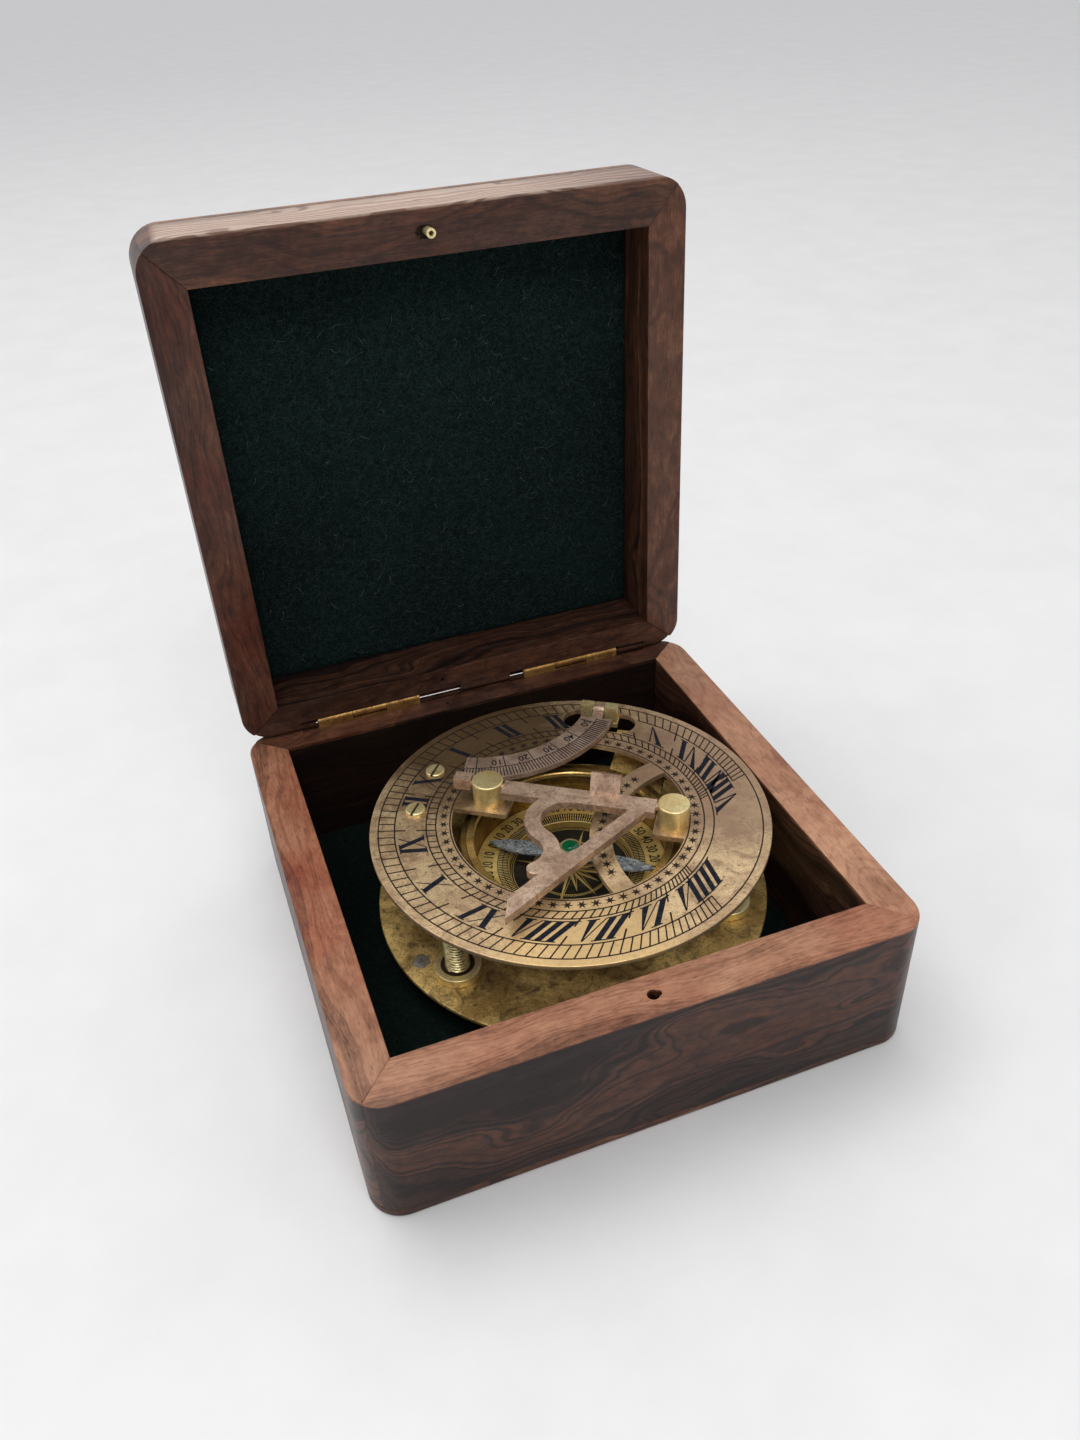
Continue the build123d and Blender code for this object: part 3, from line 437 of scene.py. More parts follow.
def soften(node, width, segments, least):
    """Rounds the edges that turn by least degrees or more. width is in millimetres."""
    weld = node.modifiers.new("weld", "WELD")
    weld.merge_threshold = 0.01 * MM
    ease = node.modifiers.new("ease", "BEVEL")
    ease.width = width * MM
    ease.segments = segments
    ease.angle_limit = radians(least)
    even = node.modifiers.new("even", "WEIGHTED_NORMAL")
    even.keep_sharp = False


# Where the boards' rims and inner faces lie, where their wood is paler, and where a painted sheen lies on
# the lid's top face
rim_height = 36.7
lid_tilt = radians(91.2)
hinge_line = (0, 62.15, 38.25)
hinge_round = 1.35
lid_way = Vector((0, sin(lid_tilt), cos(lid_tilt)))
lid_point = Vector(hinge_line) * MM - lid_way * hinge_round * MM
base_point = Vector((0, 0, rim_height * MM))
base_way = Vector((0, 0, -1))
wood_places = {
    "lid": ((lid_point, lid_way), [("x", -53.7, 53.7), ("z", 45.2, 155.5)]),
    "base": ((base_point, base_way), [("x", -53.7, 53.7), ("y", -52.9, 54.9)]),
}
sapwood = (17.0, 163.1)
streaked = ("lid_front_board", "lid_top_panel")
# Height above which the lid front board's top face gets a painted sheen
painted_sheen_height = 163.2
board_edge = 0.3

# Each board's grain axes, its tone, its rim's paler tone (its sanded wood, and painted light on the lit
# rim), how dark its inner side is, and how red it is
boards = {
    "base_front_board": ("xzy", -0.14, 0.34, 0.5, 0.45),
    "base_back_board": ("xzy", -0.04, 0.10, 0.92, 0.4),
    "base_left_board": ("yzx", -0.03, 0.24, 0.93, 0.7),
    "base_right_board": ("yzx", 0.0, 0.28, 0.6, 0.3),
    "lid_front_board": ("xyz", -0.02, 0.07, 0.4, 0.25),
    "lid_back_board": ("xyz", -0.03, 0.02, 0.5, 0.2),
    "lid_left_board": ("zyx", -0.02, 0.01, 0.5, 0.9),
    "lid_right_board": ("zyx", 0.0, 0.06, 0.3, 0.25),
    "base_bottom_board": ("xyz", -0.02, 0.0, 0.0, 0.3),
    "lid_top_panel": ("xzy", -0.06, 0.0, 0.0, 0.4),
}
for seed, (name, (axes, pale, rim_pale_and_lit, inner, red)) in enumerate(boards.items(), 3):
    rim, walls = wood_places[name.split("_")[0]]
    dress(nodes[name], wood(
        "wood_" + name, axes, seed, rim, walls, pale, rim_pale_and_lit, inner, red,
        sapwood if name in streaked else None, painted_sheen_height if name == "lid_front_board" else None,
    ))
    soften(nodes[name], board_edge, 3, 40)

# Metals
hinge_brass = brass("hinge_brass", srgb(196, 152, 86), srgb(150, 110, 58), srgb(72, 48, 28),
                    0.65, (0.34, 0.5), 160, metal=0.75)
plate_brass = brass("plate_brass", srgb(246, 210, 132), srgb(176, 142, 82), srgb(70, 52, 30),
                    0.8, (0.34, 0.54), 70, 0.9, metal=0.62, relief=0.22)
bowl_brass = brass("bowl_brass", srgb(176, 142, 80), srgb(122, 94, 50), srgb(52, 38, 22),
                   0.7, (0.28, 0.46), 90, metal=0.85)
rim_brass = brass("rim_brass", srgb(232, 198, 122), srgb(186, 150, 84), srgb(84, 62, 34),
                  0.5, (0.24, 0.40), 90, metal=0.85)
turned_brass = brass("turned_brass", srgb(255, 238, 178), srgb(240, 212, 146), srgb(128, 96, 52),
                     0.35, (0.30, 0.44), 90, metal=0.8)
pale_brass = brass("pale_brass", srgb(250, 234, 180), srgb(228, 204, 140), srgb(132, 104, 60),
                   0.4, (0.24, 0.40), 300, metal=0.7)
# The dial's patches are painted light: painted shade on its far part near the arc, a pinkish-brown painted
# shade on the side away from noon, and a painted golden highlight at its front-left edge
dial_brass = brass("dial_brass", srgb(236, 206, 160), srgb(200, 168, 130), srgb(112, 84, 60),
                   0.7, (0.32, 0.46), 95, metal=0.68, painted_light=[
                       (put(30, 24, dial_top), 38, srgb(100, 74, 46), 0.85),
                       (put(-34, 24, dial_top), 44, srgb(152, 122, 100), 0.7),
                       (put(-16, -46, dial_top), 30, srgb(238, 202, 138), 0.6),
                   ])
gnomon_brass = brass("gnomon_brass", srgb(224, 194, 168), srgb(184, 152, 128), srgb(96, 70, 58),
                     0.6, (0.30, 0.46), 150, metal=0.62)
arc_brass = brass("arc_brass", srgb(206, 178, 156), srgb(168, 140, 120), srgb(98, 74, 62),
                  0.5, (0.32, 0.46), 130, metal=0.62)
card_brass = brass("card_brass", srgb(34, 30, 24), srgb(21, 19, 16), srgb(12, 10, 9),
                   0.5, (0.35, 0.55), 200, metal=0.3)
ring_brass = brass("ring_brass", srgb(246, 216, 132), srgb(220, 186, 104), srgb(136, 104, 52),
                   0.3, (0.32, 0.48), 120, metal=0.35)
needle_metal = brass("needle_metal", srgb(226, 234, 240), srgb(150, 162, 172), srgb(12, 14, 17),
                     1.0, (0.3, 0.5), 560, 0.8, metal=0.3, relief=0.15)
engraving = plain("engraving", srgb(15, 16, 21), srgb(34, 36, 46), 900, 0.8, Specular_IOR_Level=0.1)
line_fill = plain("line_fill", srgb(28, 20, 15), srgb(46, 34, 26), 900, 0.7, Specular_IOR_Level=0.2)
splinter_wood = plain("splinter_wood", srgb(96, 58, 36), srgb(164, 108, 66), 1800, 0.7)
grime = plain("grime", srgb(26, 19, 12), srgb(48, 36, 20), 1400, 0.7, Specular_IOR_Level=0.3)
solder_grey = plain("solder_grey", srgb(74, 70, 62), srgb(124, 118, 106), 700, 0.45)
jewel = plain("jewel", srgb(0, 92, 56), srgb(8, 124, 78), 420, 0.14, 0.005, Coat_Weight=0.6)

dressed = [
    (hinge_brass, ["left_hinge_base_leaf", "right_hinge_base_leaf", "left_hinge_lid_leaf",
                   "right_hinge_lid_leaf", "left_hinge_pin", "right_hinge_pin"]),
    (plate_brass, ["base_plate", "dial_hinge_bracket", "dial_hinge_leaf", "dial_rest"]),
    (bowl_brass, ["compass_bowl"]),
    (rim_brass, ["glass_bezel"]),
    (turned_brass, ["screw_bushes", "bracket_screws", "dial_hinge_pin", "arc_pin", "noon_knob", "pole_knob",
                    "needle_cap", "needle_pivot"]),
    (pale_brass, ["dial_screws", "arc_posts", "closing_pin"]),
    (dial_brass, ["dial_plate"]),
    (arc_brass, ["latitude_arc"]),
    (gnomon_brass, ["gnomon"]),
    (card_brass, ["compass_card"]),
    (ring_brass, ["degree_ring"]),
    (needle_metal, ["compass_needle"]),
    (jewel, ["cap_jewel"]),
]
for material, names in dressed:
    for name in names:
        dress(nodes[name], material)
metal_edges = {"gnomon": 0.45, "latitude_arc": 0.25, "dial_plate": 0.25, "base_plate": 0.3,
               "noon_knob": 0.3, "pole_knob": 0.3, "screw_bushes": 0.3}
for name, round_over in metal_edges.items():
    soften(nodes[name], round_over, 2, 50)

# Glass: clear from above, and a mirror at a low angle
glass = Look("glass")
glass.tree.nodes.remove(glass.shader)
clear = glass.node("ShaderNodeBsdfTransparent")
clear.inputs["Color"].default_value = (0.985, 0.985, 0.975, 1)
gloss = glass.node("ShaderNodeBsdfGlossy")
gloss.inputs["Roughness"].default_value = 0.03
smudge = glass.noise(120, 4, 0.7).outputs[0]
glass.link(glass.bump(smudge, 0.004, 0.5), gloss.inputs["Normal"])
facing = glass.node("ShaderNodeLayerWeight")
facing.inputs["Blend"].default_value = 0.5
mirrored = glass.plus(glass.times(glass.math("POWER", facing.outputs["Facing"], 4.0), 0.8), 0.025)
blend = glass.node("ShaderNodeMixShader")
for value, socket in zip((mirrored, clear.outputs[0], gloss.outputs[0]), blend.inputs):
    glass.link(value, socket)
glass.link(blend.outputs[0], glass.output.inputs["Surface"])
dress(nodes["compass_glass"], glass.material)

# Engraving on the dial
engrave_low = dial_top - 0.06
engrave_high = dial_top + 0.03
hour_line_latitude = 60
hour_pole = -20.3
band_rim = 46.1
band_minutes = 42.2
band_hours = 34.6
band_ticks = 32.3
band_inner = 28.9
tick_spans = ((band_minutes, band_rim), (band_ticks, band_hours))
tick_width = 0.34
hour_mark_spans = ((39.6, band_minutes), (band_hours, 36.9))
hour_mark_width = tick_width * 1.2
slot_centre = (0.71, 39.0)
slot_half = (9.75, 4.1)


def polar(radius, turn):
    """A point by its radius and its direction in degrees."""
    return (radius * cos(radians(turn)), radius * sin(radians(turn)))


def in_slot(u, v, margin=0.25):
    """True where the latitude arc's slot is cut through the plate."""
    reach = max(abs(u - slot_centre[0]) - (slot_half[0] - slot_half[1]), 0)
    return hypot(reach, v - slot_centre[1]) < slot_half[1] + margin


def hour_angle(hour):
    """Direction of an hour's line from noon, about the hour pole. hour is counted from noon."""
    turn = radians(15 * hour)
    return atan2(sin(radians(hour_line_latitude)) * sin(turn), cos(turn))


def hour_point(hour, radius):
    """Where an hour's line meets a circle about the dial's middle."""
    angle = hour_angle(hour)
    along = -hour_pole * cos(angle)
    reach = along + (along**2 - hour_pole**2 + radius**2) ** 0.5
    return (hour_pole + reach * cos(angle), reach * sin(angle))


def runs(line, blocked):
    """Parts of a line that aren't blocked."""
    run = []
    for point in line:
        if blocked(*point):
            if len(run) > 1:
                yield run
            run = []
        else:
            run.append(point)
    if len(run) > 1:
        yield run


def between(start, end, steps=12):
    """Points along a straight line."""
    return [(start[0] + (end[0] - start[0]) * i / steps, start[1] + (end[1] - start[1]) * i / steps)
            for i in range(steps + 1)]


def circle_line(radius, start, end, step=1.2):
    """Points along a circle, from start to end, about step degrees apart."""
    count = max(2, int(abs(end - start) / step))
    return [polar(radius, start + (end - start) * i / count) for i in range(count + 1)]


def engrave(shape, line, width):
    """A line on the dial, broken where the arc's slot is."""
    for run in runs(line, in_slot):
        shape.strip(run, width, engrave_low, engrave_high)


lines = Solid()
first_hour = -8.34
last_hour = 8.34
gap_point = hour_point(last_hour, band_minutes)
gap_turn = degrees(atan2(gap_point[1], gap_point[0]))
for radius, reach in ((band_rim, 180), (band_minutes, gap_turn), (band_hours, 180), (band_ticks, 180),
                      (band_inner, 180)):
    engrave(lines, circle_line(radius, -reach, reach), tick_width)
steps_per_hour = 6
for k in range(round(first_hour * steps_per_hour), round(last_hour * steps_per_hour) + 1):
    hour = k / steps_per_hour
    marks = [(*span, tick_width) for span in tick_spans]
    if k % steps_per_hour == 0 and abs(hour) <= 8:
        marks += [(*span, hour_mark_width) for span in hour_mark_spans]
    for inner, outer, width in marks:
        engrave(lines, between(hour_point(hour, inner), hour_point(hour, outer)), width)
lines.build("dial_lines", line_fill, "dial", "dial_brass")

# Stars round the opening and along the bridge
stars = Solid()
chance = random.Random(11)
star_radius = 30.4
star_count = 60
star_size = 1.4
star_points = 6
star_waist = 0.34
bridge_centre = -39.6
bridge_radius = 31.25
bridge_star_size = 1.45
bridge_star_turns = (-34, -29, -23.5, -18, -12.5, -7, -1.5, 4, 9.5, 15, 20.5, 26, 31.5)


def star(u, v, size):
    """An engraved star, turned and worn by chance."""
    turn = chance.uniform(0, 60)
    outline = []
    for i in range(2 * star_points):
        reach = size * (chance.uniform(0.84, 1.06) if i % 2 == 0 else star_waist)
        a, b = polar(reach, turn + 180 * i / star_points)
        outline.append((u + a, v + b))
    stars.prism(outline, engrave_low, engrave_high)


for k in range(star_count):
    star(*polar(star_radius, 360 * k / star_count), star_size)
for turn in bridge_star_turns:
    u, v = polar(bridge_radius, turn)
    if hypot(bridge_centre + u, v) < band_inner - star_size:
        star(bridge_centre + u, v, bridge_star_size)
stars.build("dial_stars", line_fill, "dial", "dial_brass")

# Hour numerals: tops to the middle, strokes along lines through the pole knob, ends on two circles
numeral_pole = (-24.9, 0.0)
numeral_foot = 41.4
numeral_head = 35.4
numeral_middle = 38.4
stroke = 1.25
thin = 0.3
numeral_high = engrave_high + 0.01
slot_margin = 0.1
letter_space = 0.9
serif_least = 0.9
serif_extra = 0.9
glyphs = {
    "I": (2.05, [(0.45, 0.45, stroke, stroke)]),
    "V": (3.9, [(1.5, 0.95, 0.2, 1.35), (1.6, 3.2, thin, thin)]),
    "X": (4.4, [(3.6, 0.5, stroke, stroke), (0.4, 3.7, thin, thin)]),
}

# Each numeral and its hour from noon. Noon's XII stands in two parts, beside its knob
numeral_hours = (
    ("II", -0.21), ("X", 0.45), ("I", 1.45), ("II", 2.54), ("III", 3.58), ("IIII", 4.52), ("V", 5.5),
    ("VI", 6.5), ("VII", 7.5), ("VIII", 8.55), ("XI", -1.38), ("X", -2.44), ("IX", -3.56), ("VIII", -4.5),
    ("VII", -5.5), ("VI", -6.5), ("V", -7.5), ("IIII", -8.5),
)


def on_circle(base, way, radius):
    """Where a line from base along way meets a circle about the dial's middle, on base's side."""
    along = base[0] * way[0] + base[1] * way[1]
    rest = base[0] ** 2 + base[1] ** 2 - radius**2
    reach = -along - (along**2 - rest) ** 0.5
    other = -along + (along**2 - rest) ** 0.5
    step = reach if abs(reach) < abs(other) else other
    return (base[0] + step * way[0], base[1] + step * way[1])


def numeral(word, middle, shape):
    """Roman numeral strokes about a point (u, v) of the hour band."""
    du, dv = numeral_pole[0] - middle[0], numeral_pole[1] - middle[1]
    run = hypot(du, dv)
    up = (du / run, dv / run)
    right = (-up[1], up[0])

    def spot(s, radius):
        """The point of a circle that lies s to the right of the middle."""
        return on_circle((middle[0] + s * right[0], middle[1] + s * right[1]), up, radius)

    width = sum(glyphs[letter][0] for letter in word) - letter_space
    start = -width / 2
    for letter in word:
        advance, strokes = glyphs[letter]
        for foot, head, foot_width, head_width in strokes:
            ends = ((start + foot, foot_width, numeral_foot), (start + head, head_width, numeral_head))
            near, far = ([spot(s + side * wide, radius) for s, wide, radius in ends]
                         for side in (-0.5, 0.5))
            outline = [*near, *reversed(far)]
            if not any(in_slot(*corner, slot_margin) for corner in outline):
                shape.prism(outline, engrave_low, numeral_high)
            for s, wide, radius in ends:
                if wide > serif_least:
                    reach = wide + serif_extra
                    engrave(shape, [spot(s + (step / 4 - 0.5) * reach, radius) for step in range(5)], thin)
        start += advance


numerals = Solid()
for word, hour in numeral_hours:
    numeral(word, hour_point(hour, numeral_middle), numerals)
numerals.build("dial_numerals", engraving, "dial", "dial_brass")


def written(text, size, thickness):
    """A mesh of plain figures, lying flat and centred on the origin, in metres."""
    curve = bpy.data.curves.new("figures", "FONT")
    curve.body = text
    curve.size = size * MM
    curve.extrude = thickness / 2 * MM
    curve.offset = 0.03 * MM
    curve.align_x = "CENTER"
    curve.align_y = "CENTER"
    curve.resolution_u = 3
    carrier = bpy.data.objects.new("figures", curve)
    bpy.context.scene.collection.objects.link(carrier)
    bpy.context.view_layer.update()
    mesh = bpy.data.meshes.new_from_object(carrier.evaluated_get(bpy.context.evaluated_depsgraph_get()))
    bpy.data.objects.remove(carrier)
    return mesh


def write(shape, text, size, u, v, z, up, thickness=0.08, narrow=1.0):
    """Adds figures to a solid, at a point of the instrument, with their tops towards up, a (u, v) way."""
    mesh = written(text, size, thickness)
    run = hypot(*up)
    up = (up[0] / run, up[1] / run)
    right = (-up[1], up[0])

    def move(co):
        a, b = co.x / MM * narrow, co.y / MM
        return put(u + a * right[0] + b * up[0], v + a * right[1] + b * up[1], z + co.z / MM)

    shape.add_mesh(mesh, move)
    bpy.data.meshes.remove(mesh)


# Degree ring: ticks and figures in four quarters
ring_marks = Solid()
ring_circles = (15.8, 17.1, 18.4)
ring_line = 0.16
ring_tick = 0.34
ring_low = ring_top - 0.05
ring_figure_circle = 20.7
ring_figure_size = 3.7
for radius in ring_circles:
    ring_marks.strip(circle_line(radius, -180, 180), ring_line, ring_low, ring_top + 0.03)
for degree in range(0, 360, 2):
    for circles in (ring_circles[:2], ring_circles[1:]):
        ring_marks.strip([polar(radius, degree) for radius in circles], ring_tick,
                         ring_low, ring_top + 0.02)
for degree in range(0, 360, 10):
    figure = degree % 90 if degree // 90 % 2 == 0 else 90 - degree % 90
    label = str(figure or (90 if degree else 0))
    u, v = polar(ring_figure_circle, degree + 5)
    write(ring_marks, label, ring_figure_size, u, v, ring_top, polar(1, degree + 5), thickness=0.12,
          narrow=0.74)
ring_marks.build("ring_marks", engraving, "instrument", "turned_brass")

# Engraved rose on the card: one half of each point is filled, the other is drawn
rose = Solid()
rose_reaches = (14.2, 8.2, 11.2, 8.2)
rose_hub = 0.8
rose_waist = 3.4
rose_circles = (9.4, 9.9, 14.6, 15.1)
rose_line = 0.12
card_low = card_top - 0.03
card_high = card_top + 0.03
for k in range(16):
    turn = 22.5 * k
    for side in (-1, 1):
        outline = [polar(rose_hub, turn), polar(rose_reaches[k % 4], turn),
                   polar(rose_waist, turn + side * 11.25)]
        if side == 1:
            rose.prism(outline, card_low, card_top + 0.04)
        else:
            for i in range(3):
                rose.strip([outline[i], outline[(i + 1) % 3]], rose_line, card_low, card_high)
for radius in rose_circles:
    rose.strip(circle_line(radius, -180, 180), rose_line, card_low, card_high)
for degree in range(0, 360, 3):
    rose.strip([polar(radius, degree) for radius in rose_circles[:2]], rose_line, card_low, card_high)
rose.build("compass_rose", ring_brass, "instrument", "card_brass")

# Latitude arc: degree ticks and figures, by the angle from the pole about the arc's own middle
arc_marks = Solid()
arc_centre = (33.1, 42.8)
arc_rim = 36.3
arc_ticks = 32.5
arc_fives = arc_ticks - 0.8
arc_tens = 28.4
arc_line = 0.22
arc_line_start = 9
arc_line_turn = 74
arc_tick_width = 0.26
arc_zero = 78.5
degree_turn = 1.32
arc_low = arc_top - 0.05
arc_high = arc_top + 0.03
arc_figure_circle = 30.5
arc_figure_size = 3.0
arc_figures = (("50", 14.6), ("40", 29.2), ("30", 42.4), ("20", 55.8), ("10", 68.9))


def arc_place(radius, turn):
    """A point of the arc, turn degrees from the pole."""
    u, v = polar(radius, 180 + turn)
    return (arc_centre[0] + u, arc_centre[1] + v)


arc_marks.strip([arc_place(arc_ticks, arc_line_start + arc_line_turn * i / 40) for i in range(41)],
                arc_line, arc_low, arc_high)
for degree in range(-4, 53):
    turn = arc_zero - degree * degree_turn
    inner = arc_tens if degree % 10 == 0 else arc_fives if degree % 5 == 0 else arc_ticks
    arc_marks.strip([arc_place(inner, turn), arc_place(arc_rim, turn)], arc_tick_width, arc_low, arc_high)
for label, turn in arc_figures:
    u, v = arc_place(arc_figure_circle, turn)
    write(arc_marks, label, arc_figure_size, u, v, arc_top, (u - arc_centre[0], v - arc_centre[1]))
arc_marks.build("arc_marks", engraving, "arc", "dial_brass")

# Levelling screws: knurled heads on threaded shafts
screw_circle = 39.0
first_screw_turn = 60
screw_radius = 2.9
head_radius = 5.9
head_bottom = 30.5
head_height = 3.5
head_top = head_bottom + head_height
head_edge = 0.4
head_under = 0.9
head_over = 1.2
knurls = 44
knurl_depth = 0.42
thread_pitch = 0.85
thread_depth = 0.5
rings_per_pitch = 8
groove_share = 0.62
shaft_sides = 48
screw_foot = felt_top + 0.1
screw_tip = screw_radius - 1.4
screw_tip_edge = 0.5
thread_start = screw_foot + 1.3
thread_length = head_bottom - screw_foot - 1.2


def screw_centre(number):
    """Where a levelling screw stands, 0 to 2."""
    u, v = polar(screw_circle, first_screw_turn + 120 * number)
    return (u, -v)


for number, word in enumerate(("one", "two", "three")):
    centre = screw_centre(number)
    screw = Solid()
    levels = int((head_bottom - screw_foot) / thread_pitch * rings_per_pitch)
    rings = [(screw_tip, screw_foot), (screw_radius - screw_tip_edge, screw_foot + screw_tip_edge)]
    rings += [(screw_radius, thread_start + thread_length * k / levels) for k in range(levels + 1)]

    def thread(turn, ring, z):
        if ring < 3:
            return 0.0
        return -thread_depth * (0.5 - 0.5 * cos(2 * pi * (z / thread_pitch) - turn))

    screw.turned(rings, shaft_sides, centre, thread)
    head = [(head_radius - head_under, head_bottom), (head_radius - head_edge, head_bottom),
            (head_radius, head_bottom + head_edge), (head_radius, head_top - head_edge),
            (head_radius - head_edge, head_top), (head_radius - head_over, head_top)]

    def knurl(turn, ring, z):
        if ring in (0, 5):
            return 0.0
        tooth = abs((turn * knurls / (2 * pi)) % 1 - 0.5) * 2
        return -knurl_depth * tooth * (1.0 if ring in (2, 3) else 0.5)

    screw.turned(head, knurls * 4, centre, knurl)
    piece = screw.build(f"screw_{word}", turned_brass, f"level_screw_{word}", "turned_brass", 50)
    piece.data.materials.append(grime)
    middle = put(centre[0], centre[1], 0)
    for polygon in piece.data.polygons:
        reach = hypot(polygon.center.x - middle.x, polygon.center.y - middle.y) / MM
        below = polygon.center.z < (head_bottom - 0.1) * MM
        if below and abs(polygon.normal.z) < 0.9 and reach < screw_radius - thread_depth * groove_share:
            polygon.material_index = 1
    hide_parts(f"level_screw_{number + 1}")


# Grime in the bushes round the screws and in the dial screws' slots
bush_top = 17.6
bush_grime_radius = 3.55
bush_grime_width = 0.9
dirt = Solid()
for number in range(3):
    u, v = screw_centre(number)
    dirt.strip([(u + a, v + b) for a, b in circle_line(bush_grime_radius, 0, 360, 10)], bush_grime_width,
               bush_top - 0.05, bush_top + 0.03)
dirt.build("bush_grime", grime, "instrument", "plate_brass")
dial_screws_middle = (37.2, 1.75)
dial_screws_spread = 7.7
slot_reach = polar(2.35, -85)
slot_width = 0.66
slot_level = dial_top + 0.45
slots = Solid()
for side in (-1, 1):
    u, v = dial_screws_middle[0], dial_screws_middle[1] + side * dial_screws_spread
    slots.strip([(u - slot_reach[0], v - slot_reach[1]), (u + slot_reach[0], v + slot_reach[1])],
                slot_width, slot_level - 0.05, slot_level + 0.06)
slots.build("slot_grime", grime, "dial", "turned_brass")

# A solder spot on the base plate
solder = Solid()
chance = random.Random(31)
solder_spot = (29.0, -33.0)
solder_sides = 14
solder_rings = [(2.3, plate_top - 0.05), (2.1, plate_top + 0.16), (1.2, plate_top + 0.34),
                (0.4, plate_top + 0.38)]
solder_uneven = [chance.uniform(-0.35, 0.35) for _ in range(solder_sides)]


def solder_edge(turn, ring, z):
    """How far the spot's edge runs out, more near its foot."""
    return solder_uneven[round(turn * solder_sides / (2 * pi)) % solder_sides] * (1 if ring < 2 else 0.4)


solder.turned(solder_rings, solder_sides, solder_spot, solder_edge)
solder.build("solder_spot", solder_grey, "instrument", "plate_brass", 60)


# Torn splinters in the recess beside the closing pin
torn = Solid()
chance = random.Random(41)
splinters = 34
hollow_middle = -1.5
hollow_radius = 1.4
pin_side = -0.9
lid_right = Vector((1, 0, 0))
lid_up = lid_right.cross(lid_way)
pin_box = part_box("closing_pin")
pin_middle = (Vector(pin_box[0]) + Vector(pin_box[1])) / 2
pin_foot = pin_middle - lid_way * (pin_middle - lid_point).dot(lid_way)


def lid_spot(a, b, depth):
    """A point on the lid's rim: a to the right of the pin, b across the rim and depth into the board."""
    return pin_foot + lid_right * a * MM + lid_up * b * MM + lid_way * depth * MM


for _ in range(splinters):
    u, v = polar(hollow_radius, chance.uniform(60, 300))
    u += hollow_middle
    reach = chance.uniform(0.35, 1.0)
    near = (u + (pin_side - u) * 0.3 * reach, v * (1 - 0.4 * reach))
    wide = chance.uniform(0.05, 0.14)
    deep = chance.uniform(0.2, 1.2)
    start = len(torn.points)
    torn.points += [lid_spot(u, v - wide, deep), lid_spot(u, v + wide, deep), lid_spot(u, v, deep + wide),
                    lid_spot(near[0], near[1], deep + chance.uniform(0.1, 0.5))]
    torn.faces += [(start, start + 1, start + 3), (start + 1, start + 2, start + 3),
                   (start + 2, start, start + 3), (start, start + 2, start + 1)]
torn.build("torn_wood", splinter_wood, "lid", "rosewood")

# Felts: napped sheets with loose fibres. Each slab's node and slot, body, thin axis and showing side
lid_slab = ("lid_felt", "lid", 1, -1)
base_slab = ("base_felt", "box", 2, 1)


def faces_of(slab):
    """A slab's low and high corners, the axes it spans and the level of its showing side."""
    node, _, axis, face = slab
    low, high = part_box(node)
    return low, high, [k for k in range(3) if k != axis], high[axis] if face > 0 else low[axis]


def felt_sheet(name, slab, material, cells, depth, seed):
    """A napped sheet in place of a slab of felt."""
    node, body, axis, face = slab
    low, high, spans, top = faces_of(slab)
    chance = random.Random(seed)
    shape = Solid()
    count = cells + 1
    loose = 0.2
    edge_cells = 1.5
    edge_drop = 0.5
    for i in range(count):
        for j in range(count):
            point = [0.0, 0.0, 0.0]
            edge = 0.0
            for k, step in zip(spans, (i, j)):
                wobble = chance.uniform(-loose, loose) if 0 < step < cells else 0.0
                point[k] = low[k] + (high[k] - low[k]) * (step + wobble) / cells
                edge = max(edge, 1 - min(step, cells - step) / edge_cells)
            point[axis] = top - face * MM * (chance.uniform(0.0, depth) + edge_drop * max(edge, 0))
            shape.points.append(Vector(point))
    for i in range(cells):
        for j in range(cells):
            a = i * count + j
            shape.faces.append((a, a + 1, a + count + 1, a + count))
    piece = shape.build(name, material, body, node, 180)
    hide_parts(node)


def fibres(name, slab, material, count, length, rise, width, seed):
    """Loose curled fibres lying on a felt. length, rise and width are in millimetres."""
    node, body, axis, face = slab
    low, high, spans, top = faces_of(slab)
    chance = random.Random(seed)
    shape = Solid()
    bend = 1.6
    knots = 5
    sunk = 0.12 * MM
    for _ in range(count):
        place = [chance.uniform(low[k] + MM, high[k] - MM) for k in spans]
        heading = chance.uniform(0, 2 * pi)
        curl = chance.gauss(0, bend)
        reach = chance.uniform(length[0], length[1]) * MM
        start = len(shape.points)
        for step in range(knots):
            share = step / (knots - 1)
            lift = (0.02 + rise * sin(pi * share) * chance.uniform(0.6, 1.0)) * MM
            across = heading + pi / 2
            for side in (-1, 1):
                point = [0.0, 0.0, 0.0]
                for k, centre, way in zip(spans, place, (cos(across), sin(across))):
                    point[k] = min(max(centre + side * way * width * MM / 2, low[k]), high[k])
                point[axis] = top - face * sunk + face * lift
                shape.points.append(Vector(point))
            heading += curl / knots
            place = [place[0] + cos(heading) * reach / knots, place[1] + sin(heading) * reach / knots]
        for step in range(knots - 1):
            a = start + 2 * step
            shape.faces.append((a, a + 1, a + 3, a + 2))
    shape.build(name, material, body, node, outward=False)


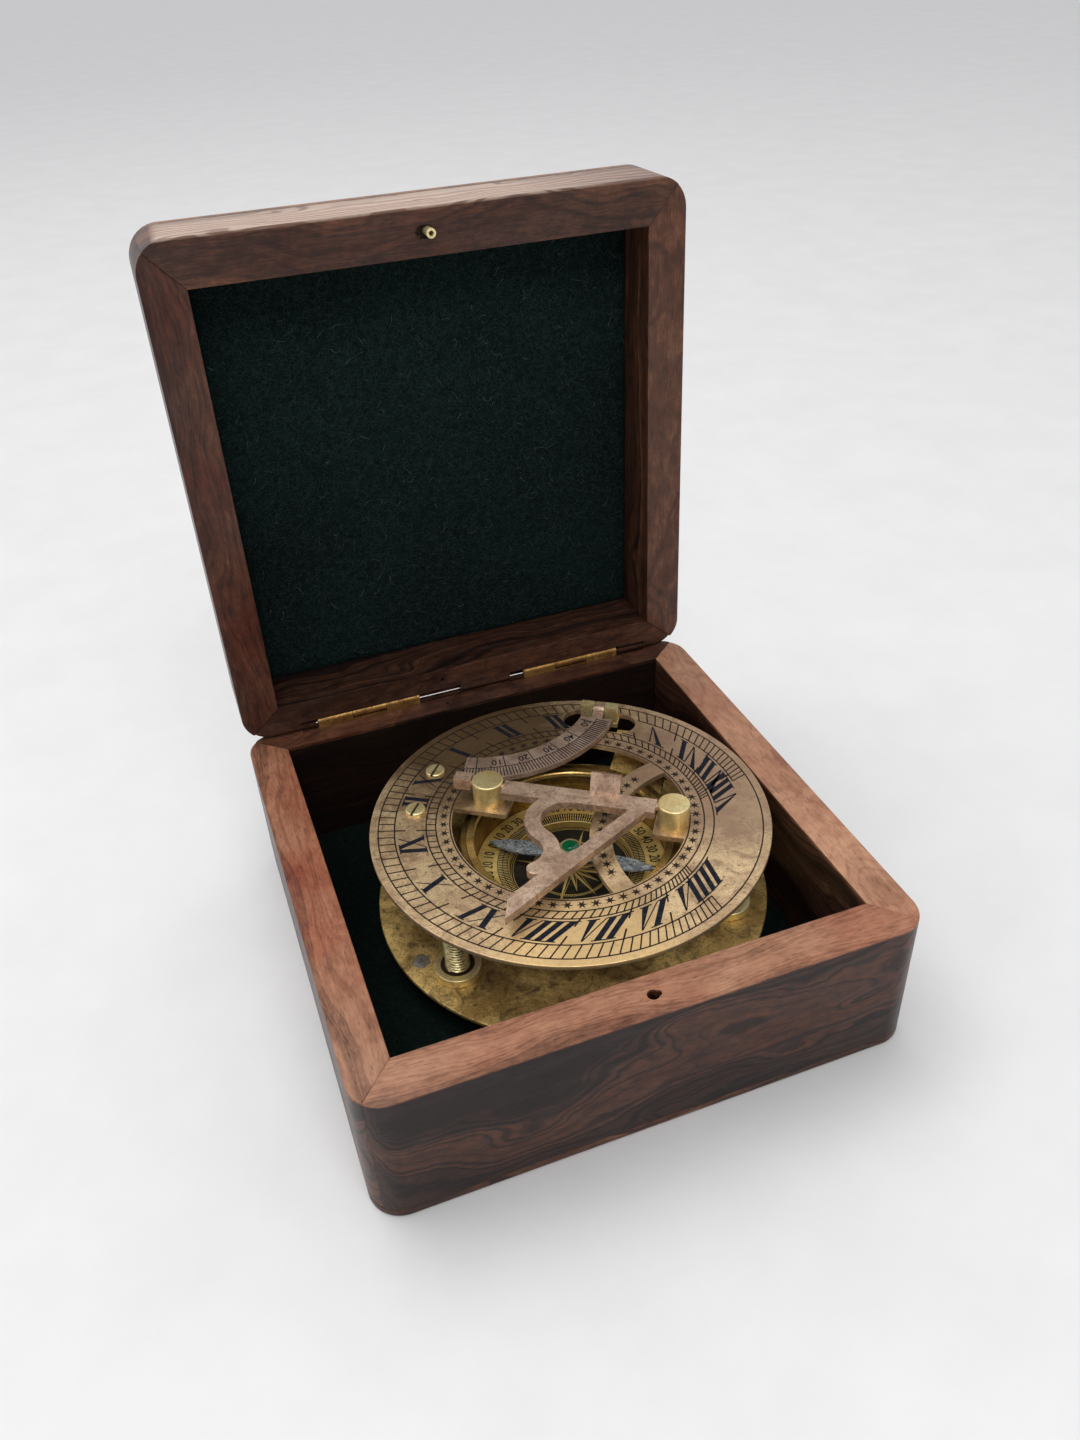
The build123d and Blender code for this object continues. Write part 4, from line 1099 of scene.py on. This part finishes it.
green_felt = felt("green_felt", srgb(5, 13, 13), srgb(20, 40, 38))
dark_felt = felt("dark_felt", srgb(3, 12, 10), srgb(10, 26, 22))
green_wool = plain("green_wool", srgb(12, 32, 30), srgb(28, 52, 49), 800, 0.9)
dark_wool = plain("dark_wool", srgb(8, 20, 18), srgb(18, 34, 31), 800, 0.9)
lint = plain("lint", srgb(70, 84, 80), srgb(120, 130, 124), 800, 0.9)
felt_sheet("lid_lining", lid_slab, green_felt, 150, 0.35, 5)
felt_sheet("base_lining", base_slab, dark_felt, 120, 0.3, 6)
fibres("lid_nap", lid_slab, green_wool, 20000, (0.8, 2.6), 0.3, 0.06, 21)
fibres("lid_lint", lid_slab, lint, 170, (0.6, 4.0), 0.5, 0.04, 22)
fibres("base_nap", base_slab, dark_wool, 5000, (1.2, 3.4), 0.25, 0.05, 23)

# Floor, a plain sheet of paper
floor_half = 12.0
floor_mesh = bpy.data.meshes.new("floor")
corners = [(x * floor_half, y * floor_half, 0) for x, y in ((-1, -1), (1, -1), (1, 1), (-1, 1))]
floor_mesh.from_pydata(corners, [], [(0, 1, 2, 3)])
floor = bpy.data.objects.new("floor", floor_mesh)
bpy.context.scene.collection.objects.link(floor)
floor_mesh.materials.append(plain("paper", srgb(213, 213, 214), srgb(217, 217, 218), 30, 0.8, 0.02))

# World: light that is strongest from one way, and a plain grey where it is seen or mirrored
world = bpy.data.worlds.new("studio")
bpy.context.scene.world = world
world.use_nodes = True
backdrop = world.node_tree
backdrop.nodes.clear()
bright_way = Vector((-0.15, 0.62, 0.77)).normalized()


def sky_node(kind, operation=None, **inputs):
    """A node of the world, with inputs that are set by name."""
    node = backdrop.nodes.new(kind)
    if operation:
        node.operation = operation
    for key, value in inputs.items():
        node.inputs[key.replace("_", " ")].default_value = value
    return node


def joined(node, *sources):
    """Links sources to a node's first inputs and gives back its first output."""
    for source, socket in zip(sources, node.inputs):
        backdrop.links.new(source, socket)
    return node.outputs[0]


heading = sky_node("ShaderNodeTexCoord")
toward = sky_node("ShaderNodeVectorMath", "DOT_PRODUCT")
toward.inputs[1].default_value = bright_way
joined(toward, heading.outputs["Generated"])
level = sky_node("ShaderNodeMapRange", From_Min=0.1, From_Max=0.95, To_Min=0.27, To_Max=1.3)
sky = sky_node("ShaderNodeBackground", Color=(0.99, 0.99, 1.0, 1))
backdrop.links.new(joined(level, toward.outputs["Value"]), sky.inputs["Strength"])
seen = sky_node("ShaderNodeBackground", Color=srgb(208, 208, 210), Strength=1.0)
ray = sky_node("ShaderNodeLightPath")
mirror = joined(sky_node("ShaderNodeMath", "MAXIMUM"), ray.outputs["Is Glossy Ray"],
                ray.outputs["Is Transmission Ray"])
direct = joined(sky_node("ShaderNodeMath", "MAXIMUM"), ray.outputs["Is Camera Ray"], mirror)
chosen = joined(sky_node("ShaderNodeMixShader"), direct, sky.outputs[0], seen.outputs[0])
backdrop.links.new(chosen, sky_node("ShaderNodeOutputWorld").inputs["Surface"])


def area_light(name, place, aim, size, watts, colour):
    """A rectangular lamp at a place, aimed at a point."""
    lamp = bpy.data.lights.new(name, "AREA")
    lamp.shape = "RECTANGLE"
    lamp.size, lamp.size_y = size
    lamp.energy = watts
    lamp.color = colour
    holder = bpy.data.objects.new(name, lamp)
    bpy.context.scene.collection.objects.link(holder)
    way = Vector(aim) - Vector(place)
    holder.matrix_world = Matrix.Translation(place) @ way.to_track_quat("-Z", "Y").to_matrix().to_4x4()


lamp_white = (1.0, 0.99, 0.97)
area_light("overhead", (-0.32, 0.42, 1.20), (0.0, 0.0, 0.05), (1.0, 0.7), 5.5, lamp_white)
area_light("front", (-0.05, -0.62, 0.9), (0.0, -0.32, 0.0), (0.6, 0.4), 4.2, lamp_white)

# Camera, as solved from the box's edges in the photograph
camera_place = (-0.0695, -0.1995, 0.2198)
camera = bpy.data.cameras.new("camera")
camera.lens = 28.84
camera.sensor_width = 36
camera.clip_start = 0.01
camera.clip_end = 100
holder = bpy.data.objects.new("camera", camera)
bpy.context.scene.collection.objects.link(holder)
right_way = Vector((0.9354, -0.3512, -0.0416))
forward_way = Vector((0.2618, 0.7667, -0.5863)).normalized()
right_way = (right_way - right_way.dot(forward_way) * forward_way).normalized()
up_way = right_way.cross(forward_way)
view = Matrix((right_way, up_way, -forward_way)).transposed().to_4x4()
holder.matrix_world = Matrix.Translation(camera_place) @ view
bpy.context.scene.camera = holder
bpy.context.scene.view_settings.view_transform = "Standard"
